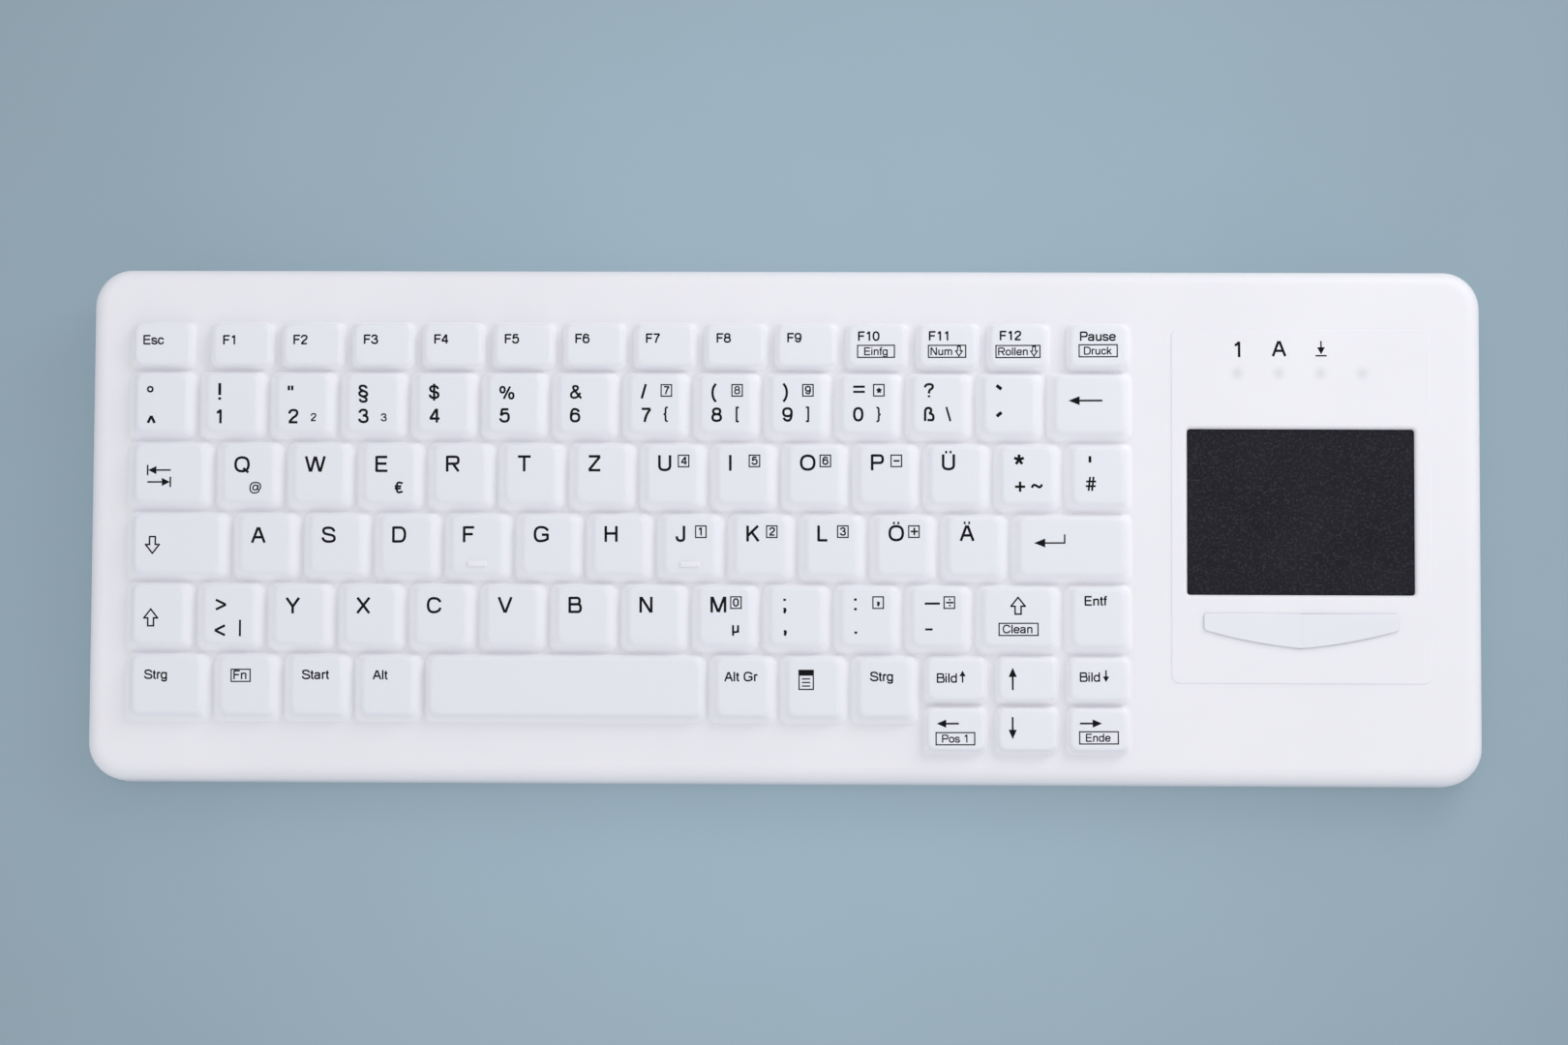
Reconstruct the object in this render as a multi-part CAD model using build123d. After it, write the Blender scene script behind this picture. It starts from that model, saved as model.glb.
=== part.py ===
from build123d import *
import math
import os

# A sealed compact computer keyboard with a touchpad beside its key field.
# A one-piece silicone skin covers the top and has a moulded dome over every key.
# Millimetres: +X to the right, +Y to the rear, +Z up. The origin is on the desk,
# under the middle of the case. The deck is tilted, so its pieces are drawn flat in
# a deck frame, whose z is zero on the skin's outer face, and are then turned.

# Case
case_width = 375.0
case_depth = 138.0
case_corner = 10.5
front_height = 14.5
deck_tilt = 4.0
edge_round = 4.0
overrun = 1.0

# Silicone skin
skin = 1.0
skin_side = 1.5
dome_wall = 0.9
soft_gap = 0.3

# Key field: the key pitches fill what the margins and the touchpad's panel leave of the case
left_margin = 10.1
right_margin = 13.75
rear_margin = 14.25
front_margin = 7.05
row_count = 5
short_row_share = 0.7087
key_valley = 0.6
short_valley = 2.4
dome_height = 3.8
short_dome_height = 3.4
side_run = 2.5
long_side_run = 1.6
front_run = 2.1
rear_run = 1.1
short_side_run = 1.3
short_front_run = 1.5
short_rear_run = 0.9
dome_corner = 2.4
dome_rim = 0.7
outer_facets = 2
inner_facets = 1

# Keycaps and their guides
key_travel = 2.2
cap_wall = 1.2
cap_drop = 1.2
stem_size = 5.0
stem_gap = 0.2
sleeve_wall = 0.9
sleeve_rise = 1.4
guide_thickness = 1.2
guide_gap = 0.4
stem_reach = 0.3
side_stem_share = 0.3

# Switch stack under the guides
rubber_dome_height = 2.6
rubber_dome_base = 4.6
rubber_dome_top = 2.4
rubber_wall = 0.6
sheet_thickness = 0.4
foil_thickness = 0.15
foil_count = 3
steel_thickness = 0.8
stack_margin = 1.6

# Hard case
top_wall = 2.0
top_plate = 2.2
field_margin = 1.0
bottom_wall = 2.4
bottom_floor = 2.0
parting_height = 7.0
bottom_round = 2.0
rib_thickness = 1.6
rib_count = 5
rib_end_gap = 6.0

# Seal between the two halves
seal_radius = 0.6
seal_gap = 0.05

# Screws that hold the halves together
screw_radius = 1.25
screw_head_radius = 2.4
screw_head = 1.6
screw_gap = 0.1
screw_bite = 4.5
drive_width = 0.6
boss_radius = 3.2
boss_split = 6.2
screw_side_inset = 18.0
screw_edge_inset = 8.2

# Feet
foot_radius = 6.5
foot_height = 2.0
foot_stand = 1.5
foot_round = 0.5
foot_inset_x = 20.0
foot_inset_y = 22.0

# Touchpad in its raised panel beside the keys, placed down from the number row's rear line
pad_width = 61.0
pad_depth = 44.7
pad_rear_down = 15.1
pad_lip = 2.0
pad_corner = 0.8
foil_sheet = 0.3
board_thickness = 1.6
pad_ledge = 3.0
pad_frame = 1.4
panel_gap = 10.2
panel_side = 4.25
panel_rear_down = -11.8
panel_front_run = 18.8
panel_corner = 2.0
panel_rise = 0.3

# The two touchpad buttons share one wide wedge outline
button_inset = 4.35
button_side = 4.7
button_depth = 9.4
button_rise = 0.9
button_round = 0.4
button_split = 0.6
button_travel = 0.5
button_flange = 0.8
button_stem_radius = 2.0
button_stem = 1.4
button_dome_height = 1.6
button_dome_base = 3.4
button_board_reach = 1.85
button_board_depth = 13.0

# Status lights
light_pitch = 11.17
light_count = 4
light_down = 0.1
light_radius = 1.6
light_bar = 4.0
light_bar_thickness = 1.2
led_size = 1.6
led_height = 1.2
led_gap = 0.3

# Controller board and its cables
control_overhang = 0.5
control_depth = 30.0
control_gap = 1.4
chip_size = 9.0
chip_height = 1.0
chip_gap = 4.0
small_chip_size = 4.0
socket_width = 12.0
socket_depth = 3.4
socket_height = 2.2
ribbon_width = 9.0
ribbon_thickness = 0.3
post_size = 4.0

# Cable inlet in the rear wall
inlet_radius = 2.0
inlet_rise = 5.6
gland_radius = 3.6
gland_flange_radius = 4.8
gland_flange = 1.4
gland_fit = 0.1
inlet_offset = 17.0

# Stabiliser wire of the space bar
wire_radius = 0.6
wire_gap = 0.08
wire_bend = 1.2
wire_arm = 9.0
wire_leg = 3.2
wire_rise = 1.6
clip_wall = 0.5
clip_length = 3.0
slot_play = 0.35
lug_thickness = 1.2

# Rows of the layout: key names with their widths in key pitches, None for a gap
function_row_shares = (
    ("esc", 1), (None, 0.125), ("f1", 1), ("f2", 1), ("f3", 1), ("f4", 1), ("f5", 1), ("f6", 1),
    ("f7", 1), ("f8", 1), ("f9", 1), ("f10", 1), ("f11", 1), ("f12", 1), (None, 0.125), ("pause", 1),
)
number_row_shares = (
    ("caret", 1), ("1", 1), ("2", 1), ("3", 1), ("4", 1), ("5", 1), ("6", 1), ("7", 1), ("8", 1),
    ("9", 1), ("0", 1), ("sharp_s", 1), ("accent", 1), ("backspace", 1.25),
)
upper_row_shares = (
    ("tab", 1.25), ("q", 1), ("w", 1), ("e", 1), ("r", 1), ("t", 1), ("z", 1), ("u", 1), ("i", 1),
    ("o", 1), ("p", 1), ("u_umlaut", 1), ("plus", 1), ("hash", 1),
)
home_row_shares = (
    ("caps", 1.5), ("a", 1), ("s", 1), ("d", 1), ("f", 1), ("g", 1), ("h", 1), ("j", 1), ("k", 1),
    ("l", 1), ("o_umlaut", 1), ("a_umlaut", 1), ("enter", 1.75),
)
lower_row_shares = (
    ("left_shift", 1), ("angle", 1), ("y", 1), ("x", 1), ("c", 1), ("v", 1), ("b", 1), ("n", 1),
    ("m", 1), ("comma", 1), ("dot", 1), ("minus", 1), ("right_shift", 1.25), ("delete", 1),
)
bottom_row_shares = (
    ("left_control", 1.25), ("fn", 1), ("start", 1), ("alt", 1), ("space", 4), ("alt_gr", 1),
    ("menu", 1), ("right_control", 1),
)
cluster_upper_shares = ((None, 11.25), ("page_up", 1), ("arrow_up", 1), ("page_down", 1))
cluster_lower_shares = ((None, 11.25), ("arrow_left", 1), ("arrow_down", 1), ("arrow_right", 1))

# Neighbouring character keys that share one node, because the count of nodes is limited
bank_members = (
    ("f1", "f2", "f3", "f4"), ("f5", "f6", "f7", "f8"), ("f9", "f10", "f11", "f12"),
    ("caret", "1", "2", "3", "4"), ("5", "6", "7", "8"), ("9", "0", "sharp_s", "accent"),
    ("q", "w", "e", "r"), ("t", "z", "u", "i"), ("o", "p", "u_umlaut", "plus", "hash"),
    ("a", "s", "d", "f", "g"), ("h", "j", "k", "l", "o_umlaut", "a_umlaut"),
    ("angle", "y", "x", "c", "v"), ("b", "n", "m", "comma", "dot", "minus"),
)

# Pitches and places that follow from the case, its margins and the touchpad
panel_width = pad_width + 2 * panel_side
pitches_across = sum(width for name, width in number_row_shares)
field_width = case_width - left_margin - panel_gap - panel_width - right_margin
key_pitch = field_width / pitches_across
row_pitch = (case_depth - rear_margin - front_margin) / (row_count - 1 + 3 * short_row_share)
short_pitch = short_row_share * row_pitch
field_shift = left_margin + field_width / 2 - case_width / 2
field_rear = case_depth / 2 - rear_margin - short_pitch
panel_left = field_width / 2 + panel_gap
pad_middle_x = panel_left + panel_width / 2
pad_middle_down = pad_rear_down + pad_depth / 2
button_width = pad_width - 2 * button_inset
button_top_down = pad_rear_down + pad_depth + pad_lip + pad_ledge
button_board_width = button_width + 2 * button_board_reach
panel_front_down = button_top_down + panel_front_run
light_first_x = pad_middle_x - (light_count - 1) / 2 * light_pitch
control_width = pad_width + 2 * control_overhang
control_rear = case_depth / 2 - screw_edge_inset - boss_radius - control_gap
inlet_x = field_shift + pad_middle_x - inlet_offset

# Levels in the deck frame
skin_under = -skin
plate_top = skin_under - soft_gap
plate_under = plate_top - top_plate
cap_under = -cap_drop
guide_top = cap_under - key_travel - guide_gap
guide_under = guide_top - guide_thickness
stem_under = guide_under - stem_reach
rubber_top = stem_under - soft_gap
sheet_top = rubber_top - rubber_dome_height
sheet_under = sheet_top - sheet_thickness
steel_top = sheet_under - foil_count * foil_thickness
steel_under = steel_top - steel_thickness
pad_top = skin_under
pad_board_top = pad_top - foil_sheet
pad_board_under = pad_board_top - board_thickness
control_top = guide_under - socket_height - soft_gap
control_under = control_top - board_thickness

# Heights in the case frame
case_bottom = foot_stand
floor_top = case_bottom + bottom_floor
tilt_slope = math.tan(math.radians(deck_tilt))
deck_height = front_height + case_depth / 2 * tilt_slope
deck = Pos(0, 0, deck_height) * Rot(deck_tilt, 0, 0)
upright = (Align.CENTER, Align.CENTER, Align.MIN)


def at_field(x, down):
    """Place in the deck frame of a point given across and down the key field."""
    return field_shift + x, field_rear - down


def clean_box(width, depth, low, high):
    """Box centred on X and Y, between two levels."""
    return Pos(0, 0, low) * Box(width, depth, high - low, align=upright)


def rod(radius, low, high):
    """Upright cylinder between two levels."""
    return Pos(0, 0, low) * Cylinder(radius, high - low, align=upright)


def post(width, depth, low):
    """Upright block from a low level to well above the deck, to be trimmed by it."""
    return clean_box(width, depth, low, 2 * deck_height)


def rounded_plate(width, depth, corner, low, high):
    return Pos(0, 0, low) * extrude(RectangleRounded(width, depth, corner), high - low)


def sloped_block(inset, low, level, rounding):
    """Upright block inside the case outline, cut by the deck plane at a level and rounded there."""
    width = case_width - 2 * inset
    depth = case_depth - 2 * inset
    block = rounded_plate(width, depth, case_corner - inset, low, 2 * deck_height)
    cut = deck * Pos(0, 0, level) * clean_box(2 * case_width, 2 * case_width, 0, 2 * deck_height)
    block = block - cut
    top_face = block.faces().sort_by(Axis.Z)[-1]
    return fillet(top_face.edges(), rounding)


def faceted_corners(size, corner, facets, shift, level):
    """Points round a rectangle whose corners are turned in flat facets, so that its walls are plane."""
    points = []
    for quarter, (x, y) in enumerate(((1, 1), (-1, 1), (-1, -1), (1, -1))):
        for step in range(facets + 1):
            turn = math.radians(90 * (quarter + step / facets))
            points.append((x * (size[0] / 2 - corner) + corner * math.cos(turn),
                           shift + y * (size[1] / 2 - corner) + corner * math.sin(turn), level))
    return points


def frustum(low_size, high_size, high_shift, low, high, low_corner, high_corner, facets):
    """Plane-walled block with a cornered foot and a smaller top that may be shifted along Y."""
    feet = faceted_corners(low_size, low_corner, facets, 0, low)
    heads = faceted_corners(high_size, high_corner, facets, high_shift, high)
    faces = [Face(Wire.make_polygon(feet)), Face(Wire.make_polygon(heads))]
    for index, foot in enumerate(feet):
        after = (index + 1) % len(feet)
        faces.append(Face(Wire.make_polygon([foot, feet[after], heads[after], heads[index]])))
    return Solid(Shell(faces))


def place_row(shares, row_down, row_depth, places):
    """Work out the middle and the size of every key in a row."""
    left = -field_width / 2
    for name, share in shares:
        width = share * key_pitch
        if name is not None:
            middle = at_field(left + width / 2, row_down + row_depth / 2)
            places[name] = (middle, width, row_depth)
        left = left + width


def place_keys():
    places = {}
    place_row(function_row_shares, -short_pitch, short_pitch, places)
    full_rows = (number_row_shares, upper_row_shares, home_row_shares, lower_row_shares,
                 bottom_row_shares)
    for index, shares in enumerate(full_rows):
        place_row(shares, index * row_pitch, row_pitch, places)
    cluster_down = (row_count - 1) * row_pitch
    place_row(cluster_upper_shares, cluster_down, short_pitch, places)
    place_row(cluster_lower_shares, cluster_down + short_pitch, short_pitch, places)
    return places


key_places = place_keys()


def is_short(depth):
    return depth < row_pitch


def is_long(width):
    return width > 2 * key_pitch


def dome_form(width, depth):
    """Foot size, top size, top shift and height of the dome over a key."""
    if is_short(depth):
        foot = (width - short_valley, depth - key_valley)
        top = (foot[0] - 2 * short_side_run, foot[1] - short_front_run - short_rear_run)
        shift = (short_front_run - short_rear_run) / 2
        return foot, top, shift, short_dome_height
    run = long_side_run if is_long(width) else side_run
    foot = (width - key_valley, depth - key_valley)
    top = (foot[0] - 2 * run, foot[1] - front_run - rear_run)
    return foot, top, (front_run - rear_run) / 2, dome_height


def shrunk(size, amount):
    return size[0] - 2 * amount, size[1] - 2 * amount


def outer_dome(width, depth):
    """Outside of a dome with its foot in the skin and its rim broken by a bevel."""
    foot, top, shift, height = dome_form(width, depth)
    shoulder = shrunk(top, -dome_rim / 2)
    crown = shrunk(top, dome_rim / 2)
    base = frustum(foot, foot, 0, -skin / 2, 0, dome_corner, dome_corner, outer_facets)
    skirt = frustum(foot, shoulder, shift, 0, height - dome_rim, dome_corner, dome_corner, outer_facets)
    rim = frustum(shoulder, crown, 0, height - dome_rim, height, dome_corner, dome_corner - dome_rim,
                  outer_facets)
    return base + skirt + Pos(0, shift, 0) * rim


def inner_space(width, depth, inset, low, lid):
    """Space inside a dome, drawn in by an inset, from a low level to under its lid."""
    foot, top, shift, height = dome_form(width, depth)
    corner = dome_corner ** 2 / (dome_corner + inset)
    drawn_foot = shrunk(foot, inset)
    drawn_top = shrunk(top, inset)
    upper = frustum(drawn_foot, drawn_top, shift, 0, height - lid, corner, corner, inner_facets)
    return upper + frustum(drawn_foot, drawn_foot, 0, low, 0, corner, corner, inner_facets)


def dome_space(width, depth):
    return inner_space(width, depth, dome_wall, skin_under - overrun, dome_wall)


def make_per_size(maker):
    """Make one shape for each size of key and set a copy at every key's place."""
    shapes = {}
    placed = {}
    for name, (middle, width, depth) in key_places.items():
        size = (width, depth)
        if size not in shapes:
            shapes[size] = maker(width, depth)
        placed[name] = Pos(*middle, 0) * shapes[size]
    return placed


def button_outline(inset, side):
    """Half of the buttons' wedge outline, left or right of the split: side is -1 or 1."""
    middle_x, rear_y = at_field(pad_middle_x, button_top_down)
    inner = middle_x + side * (button_split / 2 + inset)
    outer = middle_x + side * (button_width / 2 - inset)
    rear = rear_y - inset
    front_outer = rear_y - button_side + inset
    front_inner = rear_y - button_depth + inset
    points = ((inner, rear), (outer, rear), (outer, front_outer), (inner, front_inner))
    return make_face(Polyline(*points, close=True))


def button_wedge(inset):
    """Whole wedge outline without its split."""
    middle_x, rear_y = at_field(pad_middle_x, button_top_down)
    half = button_width / 2 - inset
    rear = rear_y - inset
    front_outer = rear_y - button_side + inset
    front_inner = rear_y - button_depth + inset
    points = (
        (middle_x - half, rear), (middle_x + half, rear), (middle_x + half, front_outer),
        (middle_x, front_inner), (middle_x - half, front_outer),
    )
    return make_face(Polyline(*points, close=True))


def raised_prism(face, low, high):
    return Pos(0, 0, low) * extrude(face, high - low)


def light_spots():
    for index in range(light_count):
        yield at_field(light_first_x + index * light_pitch, light_down)


def at_pad(shape):
    return Pos(*at_field(pad_middle_x, pad_middle_down), 0) * shape


def stack_outline(margin):
    """Outline of the key field with its arrow cluster, grown by a margin."""
    keys_depth = row_count * row_pitch + short_pitch
    main_x, main_y = at_field(0, keys_depth / 2 - short_pitch)
    cluster_width = 3 * key_pitch
    cluster_depth = 2 * short_pitch
    cluster_down = (row_count - 1) * row_pitch + cluster_depth / 2
    cluster_x, cluster_y = at_field((field_width - cluster_width) / 2, cluster_down)
    main = Rectangle(field_width + 2 * margin, keys_depth + 2 * margin)
    cluster = Rectangle(cluster_width + 2 * margin, cluster_depth + 2 * margin)
    return Pos(main_x, main_y) * main + Pos(cluster_x, cluster_y) * cluster


# Silicone cover
def make_cover():
    side_inner = skin_side
    outer = sloped_block(0, parting_height + soft_gap, 0, edge_round)
    inner = sloped_block(side_inner, 0, skin_under, edge_round - side_inner)
    cover = outer - inner
    panel_depth = panel_front_down - panel_rear_down
    panel_x, panel_y = at_field(pad_middle_x, (panel_rear_down + panel_front_down) / 2)
    raised = Pos(panel_x, panel_y, 0) * rounded_plate(
        panel_width, panel_depth, panel_corner, -skin / 2, panel_rise)
    buttons = []
    for side in (-1, 1):
        wedge = raised_prism(button_outline(0, side), -skin / 2, button_rise + panel_rise)
        buttons.append(fillet(wedge.faces().sort_by(Axis.Z)[-1].edges(), button_round))
    domes = list(make_per_size(outer_dome).values())
    cover = cover + [deck * piece for piece in domes + buttons + [raised]]
    spaces = list(make_per_size(dome_space).values())
    low = skin_under - overrun
    window = at_pad(rounded_plate(pad_width, pad_depth, pad_corner, low, panel_rise + overrun))
    hollow = raised_prism(button_wedge(dome_wall), low, button_rise + panel_rise - dome_wall)
    return cover - [deck * space for space in spaces + [window, hollow]] - inlet_hole()


# Keycaps
def cap_stem_places(width):
    """Where a cap's stems stand across its width: long caps have two more."""
    if is_long(width):
        return -side_stem_share * width, 0, side_stem_share * width
    return (0,)


def wire_bar():
    """Where the stabiliser's bar turns, from the middle of its key: half length, Y and level."""
    sleeve_outer = sleeve_size() / 2 + sleeve_wall
    half_length = side_stem_share * key_places["space"][1] + sleeve_outer + soft_gap + wire_leg
    return half_length, sleeve_outer + soft_gap + wire_radius, guide_top + wire_rise


def wire_reach():
    """How far the raised end of a stabiliser arm lies from the bar along Y."""
    return math.sqrt(wire_arm ** 2 - key_travel ** 2)


def cap_lugs(lid_level):
    """Slotted lugs under a long cap that hold the ends of the stabiliser."""
    half_length, bar_y, bar_level = wire_bar()
    slot_y = bar_y - (wire_arm + wire_reach()) / 2
    slot_level = bar_level + key_travel
    slot_depth = 2 * (wire_radius + slot_play)
    slot_height = 2 * (wire_radius + wire_gap)
    lug_x = half_length - wire_leg + lug_thickness
    lugs = []
    for side in (-1, 1):
        spot = Pos(side * lug_x, slot_y, 0)
        lug = spot * clean_box(lug_thickness, slot_depth + 2 * clip_wall,
                               slot_level - slot_height / 2 - clip_wall, lid_level)
        slot = spot * clean_box(2 * lug_thickness, slot_depth, slot_level - slot_height / 2,
                                slot_level + slot_height / 2)
        lugs.append(lug - slot)
    return lugs


def make_cap(width, depth):
    inset = dome_wall + soft_gap
    shell = inner_space(width, depth, inset, cap_under, dome_wall + soft_gap)
    foot, top, shift, height = dome_form(width, depth)
    lid = dome_wall + soft_gap + cap_wall
    hollow = inner_space(width, depth, inset + cap_wall, cap_under - overrun, lid)
    cap = shell - hollow
    stem_top = height - lid + cap_wall / 2
    for x in cap_stem_places(width):
        cap = cap + Pos(x, 0, 0) * clean_box(stem_size, stem_size, stem_under, stem_top)
    if is_long(width):
        cap = cap + cap_lugs(stem_top)
    return cap


# Key guide plate
def sleeve_size():
    return stem_size + 2 * stem_gap


def make_guide_plate():
    plate = raised_prism(stack_outline(-stack_margin / 2), guide_under, guide_top)
    sleeves = []
    holes = []
    outer = sleeve_size() + 2 * sleeve_wall
    for middle, width, depth in key_places.values():
        for x in cap_stem_places(width):
            spot = Pos(middle[0] + x, middle[1], 0)
            sleeves.append(spot * clean_box(outer, outer, guide_under, guide_top + sleeve_rise))
            holes.append(spot * clean_box(sleeve_size(), sleeve_size(), guide_under - overrun,
                                          guide_top + sleeve_rise + overrun))
    return plate + sleeves + wire_clips() - holes


# Stabiliser wire of the space bar
def at_space(shape):
    return Pos(*key_places["space"][0], 0) * shape


def wire_clips():
    """Two clips on the guide plate in which the stabiliser's bar turns."""
    half_length, bar_y, bar_level = wire_bar()
    clip_top = bar_level + wire_radius + wire_gap + clip_wall
    bore = Pos(0, bar_y, bar_level) * Rot(0, 90, 0) * Cylinder(wire_radius + wire_gap, 2 * half_length)
    clips = []
    for side in (-1, 1):
        x = side * side_stem_share * key_places["space"][1] / 2
        block = Pos(x, bar_y, 0) * clean_box(clip_length, 2 * (wire_radius + wire_gap + clip_wall),
                                             guide_under, clip_top)
        clips.append(at_space(block - bore))
    return clips


def make_stabilizer():
    half_length, bar_y, bar_level = wire_bar()
    end_y = bar_y - wire_reach()
    end_level = bar_level + key_travel
    path = FilletPolyline(
        (wire_leg - half_length, end_y, end_level), (-half_length, end_y, end_level),
        (-half_length, bar_y, bar_level), (half_length, bar_y, bar_level),
        (half_length, end_y, end_level), (half_length - wire_leg, end_y, end_level), radius=wire_bend)
    section = Plane(origin=path @ 0, z_dir=path % 0) * Circle(wire_radius)
    return at_space(sweep(section, path=path))


# Rubber domes under the stems
def make_rubber_sheet():
    sheet = raised_prism(stack_outline(-stack_margin / 2), sheet_under, sheet_top)
    dome = Cone(rubber_dome_base, rubber_dome_top, rubber_top - sheet_under, align=upright)
    hollow_height = rubber_dome_height - 2 * rubber_wall
    hollow = Cone(rubber_dome_base - rubber_wall, rubber_dome_top - rubber_wall / 2, hollow_height,
                  align=upright)
    domes = []
    hollows = []
    for middle, width, depth in key_places.values():
        domes.append(Pos(*middle, sheet_under) * dome)
        hollows.append(Pos(*middle, sheet_under) * hollow)
    return sheet + domes - hollows


def make_foils():
    """Upper circuit foil, spacer foil and lower circuit foil, laid on each other."""
    foils = []
    for index in range(foil_count):
        low = steel_top + index * foil_thickness
        foils.append(raised_prism(stack_outline(-stack_margin / 2), low, low + foil_thickness))
    return Compound(foils)


def make_steel_plate():
    return raised_prism(stack_outline(stack_margin / 2), steel_under, steel_top)


# Hard case, upper half
def screw_columns():
    right = case_width / 2 - screw_side_inset
    return (
        -right, field_shift - 2 * key_pitch, field_shift + 2 * key_pitch,
        field_shift + field_width / 2 + stack_margin + boss_radius + field_margin, right,
    )


def screw_places():
    for x in screw_columns():
        for side in (-1, 1):
            yield x, side * (case_depth / 2 - screw_edge_inset)


def make_top_case():
    outer_inset = skin_side + soft_gap
    inner_inset = outer_inset + top_wall
    outer = sloped_block(outer_inset, parting_height, plate_top, edge_round - skin_side)
    inner = sloped_block(inner_inset, parting_height - overrun, plate_under, skin)
    case = outer - inner
    bosses = []
    for x, y in screw_places():
        column = Pos(x, y, 0) * rod(boss_radius, boss_split, 2 * deck_height)
        bosses.append(column - upper_space(plate_under + skin / 2))
    foil_width = pad_width + 2 * pad_lip
    foil_depth = pad_depth + 2 * pad_lip
    frame = at_pad(clean_box(foil_width + 2 * pad_ledge, foil_depth + 2 * pad_ledge,
                             pad_board_under - pad_frame, plate_top))
    case = case + bosses + deck * frame
    cuts = [raised_prism(stack_outline(field_margin), plate_under - overrun, overrun)]
    seat_width = foil_width + 2 * soft_gap
    seat_depth = foil_depth + 2 * soft_gap
    cuts.append(at_pad(clean_box(seat_width, seat_depth, pad_board_under, overrun)))
    cuts.append(at_pad(clean_box(seat_width - 2 * pad_ledge, seat_depth - 2 * pad_ledge,
                                 pad_board_under - pad_frame - overrun, overrun)))
    cuts.append(raised_prism(button_wedge(dome_wall), plate_under - overrun, overrun))
    for x, y in light_spots():
        cuts.append(Pos(x, y, 0) * rod(light_radius + soft_gap, plate_under - overrun, overrun))
    case = case - [deck * cut for cut in cuts]
    holes = []
    for x, y in screw_places():
        holes.append(Pos(x, y, 0) * rod(screw_radius + screw_gap, boss_split - overrun,
                                        boss_split + screw_bite))
    return case - holes - inlet_hole()


# Hard case, lower half
def inlet_height():
    """Height of the cable inlet's axis, midway up the rear wall above the parting line."""
    return parting_height + inlet_rise


def inlet_hole():
    hole = rod(gland_radius + gland_fit, -overrun, top_wall + skin_side + 3 * overrun)
    return Pos(inlet_x, case_depth / 2, inlet_height()) * Rot(90, 0, 0) * hole


def foot_places():
    for x in (foot_inset_x - case_width / 2, 0, case_width / 2 - foot_inset_x):
        for y in (foot_inset_y - case_depth / 2, case_depth / 2 - foot_inset_y):
            yield x, y


def upper_space(level):
    """Everything above a level of the deck frame, to trim upright pieces to the tilt."""
    return deck * Pos(0, 0, level) * clean_box(2 * case_width, 2 * case_width, 0, 4 * deck_height)


def make_bottom_case():
    outline = RectangleRounded(case_width, case_depth, case_corner)
    shell = Pos(0, 0, case_bottom) * extrude(outline, parting_height - case_bottom)
    shell = fillet(shell.faces().sort_by(Axis.Z)[0].edges(), bottom_round)
    inner_wall = skin_side + soft_gap + bottom_wall
    cavity = rounded_plate(case_width - 2 * inner_wall, case_depth - 2 * inner_wall,
                           case_corner - inner_wall, floor_top, parting_height + overrun)
    case = shell - cavity
    in_floor = floor_top - bottom_floor / 2
    ribs = []
    rib_depth = row_count * row_pitch - 2 * rib_end_gap
    for index in range(rib_count):
        x, y = at_field((index - (rib_count - 1) / 2) * 3 * key_pitch, row_count * row_pitch / 2)
        ribs.append(Pos(x, y, 0) * post(rib_thickness, rib_depth, in_floor) - upper_space(steel_under))
    for x, y in board_posts():
        ribs.append(Pos(x, y, 0) * post(post_size, post_size, in_floor) - upper_space(control_under))
    for x, y in button_board_posts():
        ribs.append(Pos(x, y, 0) * post(post_size, post_size, in_floor)
                    - upper_space(button_board_top() - board_thickness))
    bosses = []
    cuts = []
    for x, y in screw_places():
        bosses.append(Pos(x, y, 0) * rod(boss_radius, in_floor, boss_split))
        cuts.append(Pos(x, y, 0) * rod(screw_radius + screw_gap, 0, 2 * parting_height))
        cuts.append(Pos(x, y, 0) * rod(screw_head_radius + soft_gap, 0, case_bottom + screw_head))
    for x, y in foot_places():
        cuts.append(Pos(x, y, 0) * rod(foot_radius + soft_gap, 0, foot_height))
    return case + ribs + bosses - cuts - seal_ring(seal_radius + seal_gap)


def seal_ring(radius):
    """Round cord laid in a groove on the parting face, here with a given section radius."""
    inset = skin_side + soft_gap + top_wall / 2
    width = case_width - 2 * inset
    depth = case_depth - 2 * inset
    path = RectangleRounded(width, depth, case_corner - inset).wire()
    path = Pos(0, 0, parting_height - seal_radius) * path
    section = Plane(origin=path @ 0, z_dir=path % 0) * Circle(radius)
    return sweep(section, path=path)


# Screws and feet
def make_screws():
    base = case_bottom + screw_head - soft_gap / 2
    low = base - screw_head
    head = rod(screw_head_radius, low, base)
    shank = rod(screw_radius, base, boss_split + screw_bite - overrun)
    drive = clean_box(screw_head_radius, drive_width, low, low + screw_head / 2)
    turned = clean_box(drive_width, screw_head_radius, low, low + screw_head / 2)
    screw = head + shank - drive - turned
    screws = []
    for x, y in screw_places():
        screws.append(Pos(x, y, 0) * screw)
    return Compound(screws)


def make_feet():
    foot = Cylinder(foot_radius, foot_height, align=upright)
    foot = fillet(foot.faces().sort_by(Axis.Z)[0].edges(), foot_round)
    return Compound([Pos(x, y, 0) * foot for x, y in foot_places()])


# Touchpad
def pad_layer(low, high):
    return at_pad(clean_box(pad_width + 2 * pad_lip, pad_depth + 2 * pad_lip, low, high))


def button_top():
    return button_rise + panel_rise - dome_wall - soft_gap


def button_foot():
    """Lowest level of a touchpad button at rest."""
    return plate_under - button_travel - button_flange - button_stem


def button_board_top():
    return button_foot() - soft_gap - button_dome_height


def make_button(side):
    """Hard wedge under the skin, with a flange that keeps it in its window and a stem."""
    inset = dome_wall + soft_gap
    flange_top = plate_under - button_travel
    flange_under = flange_top - button_flange
    wedge = raised_prism(button_outline(inset, side), flange_under, button_top())
    flange = raised_prism(button_outline(soft_gap, side), flange_under, flange_top)
    x, y = button_middle(side)
    stem = Pos(x, y, 0) * rod(button_stem_radius, button_foot(), flange_top)
    return wedge + flange + stem


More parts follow.
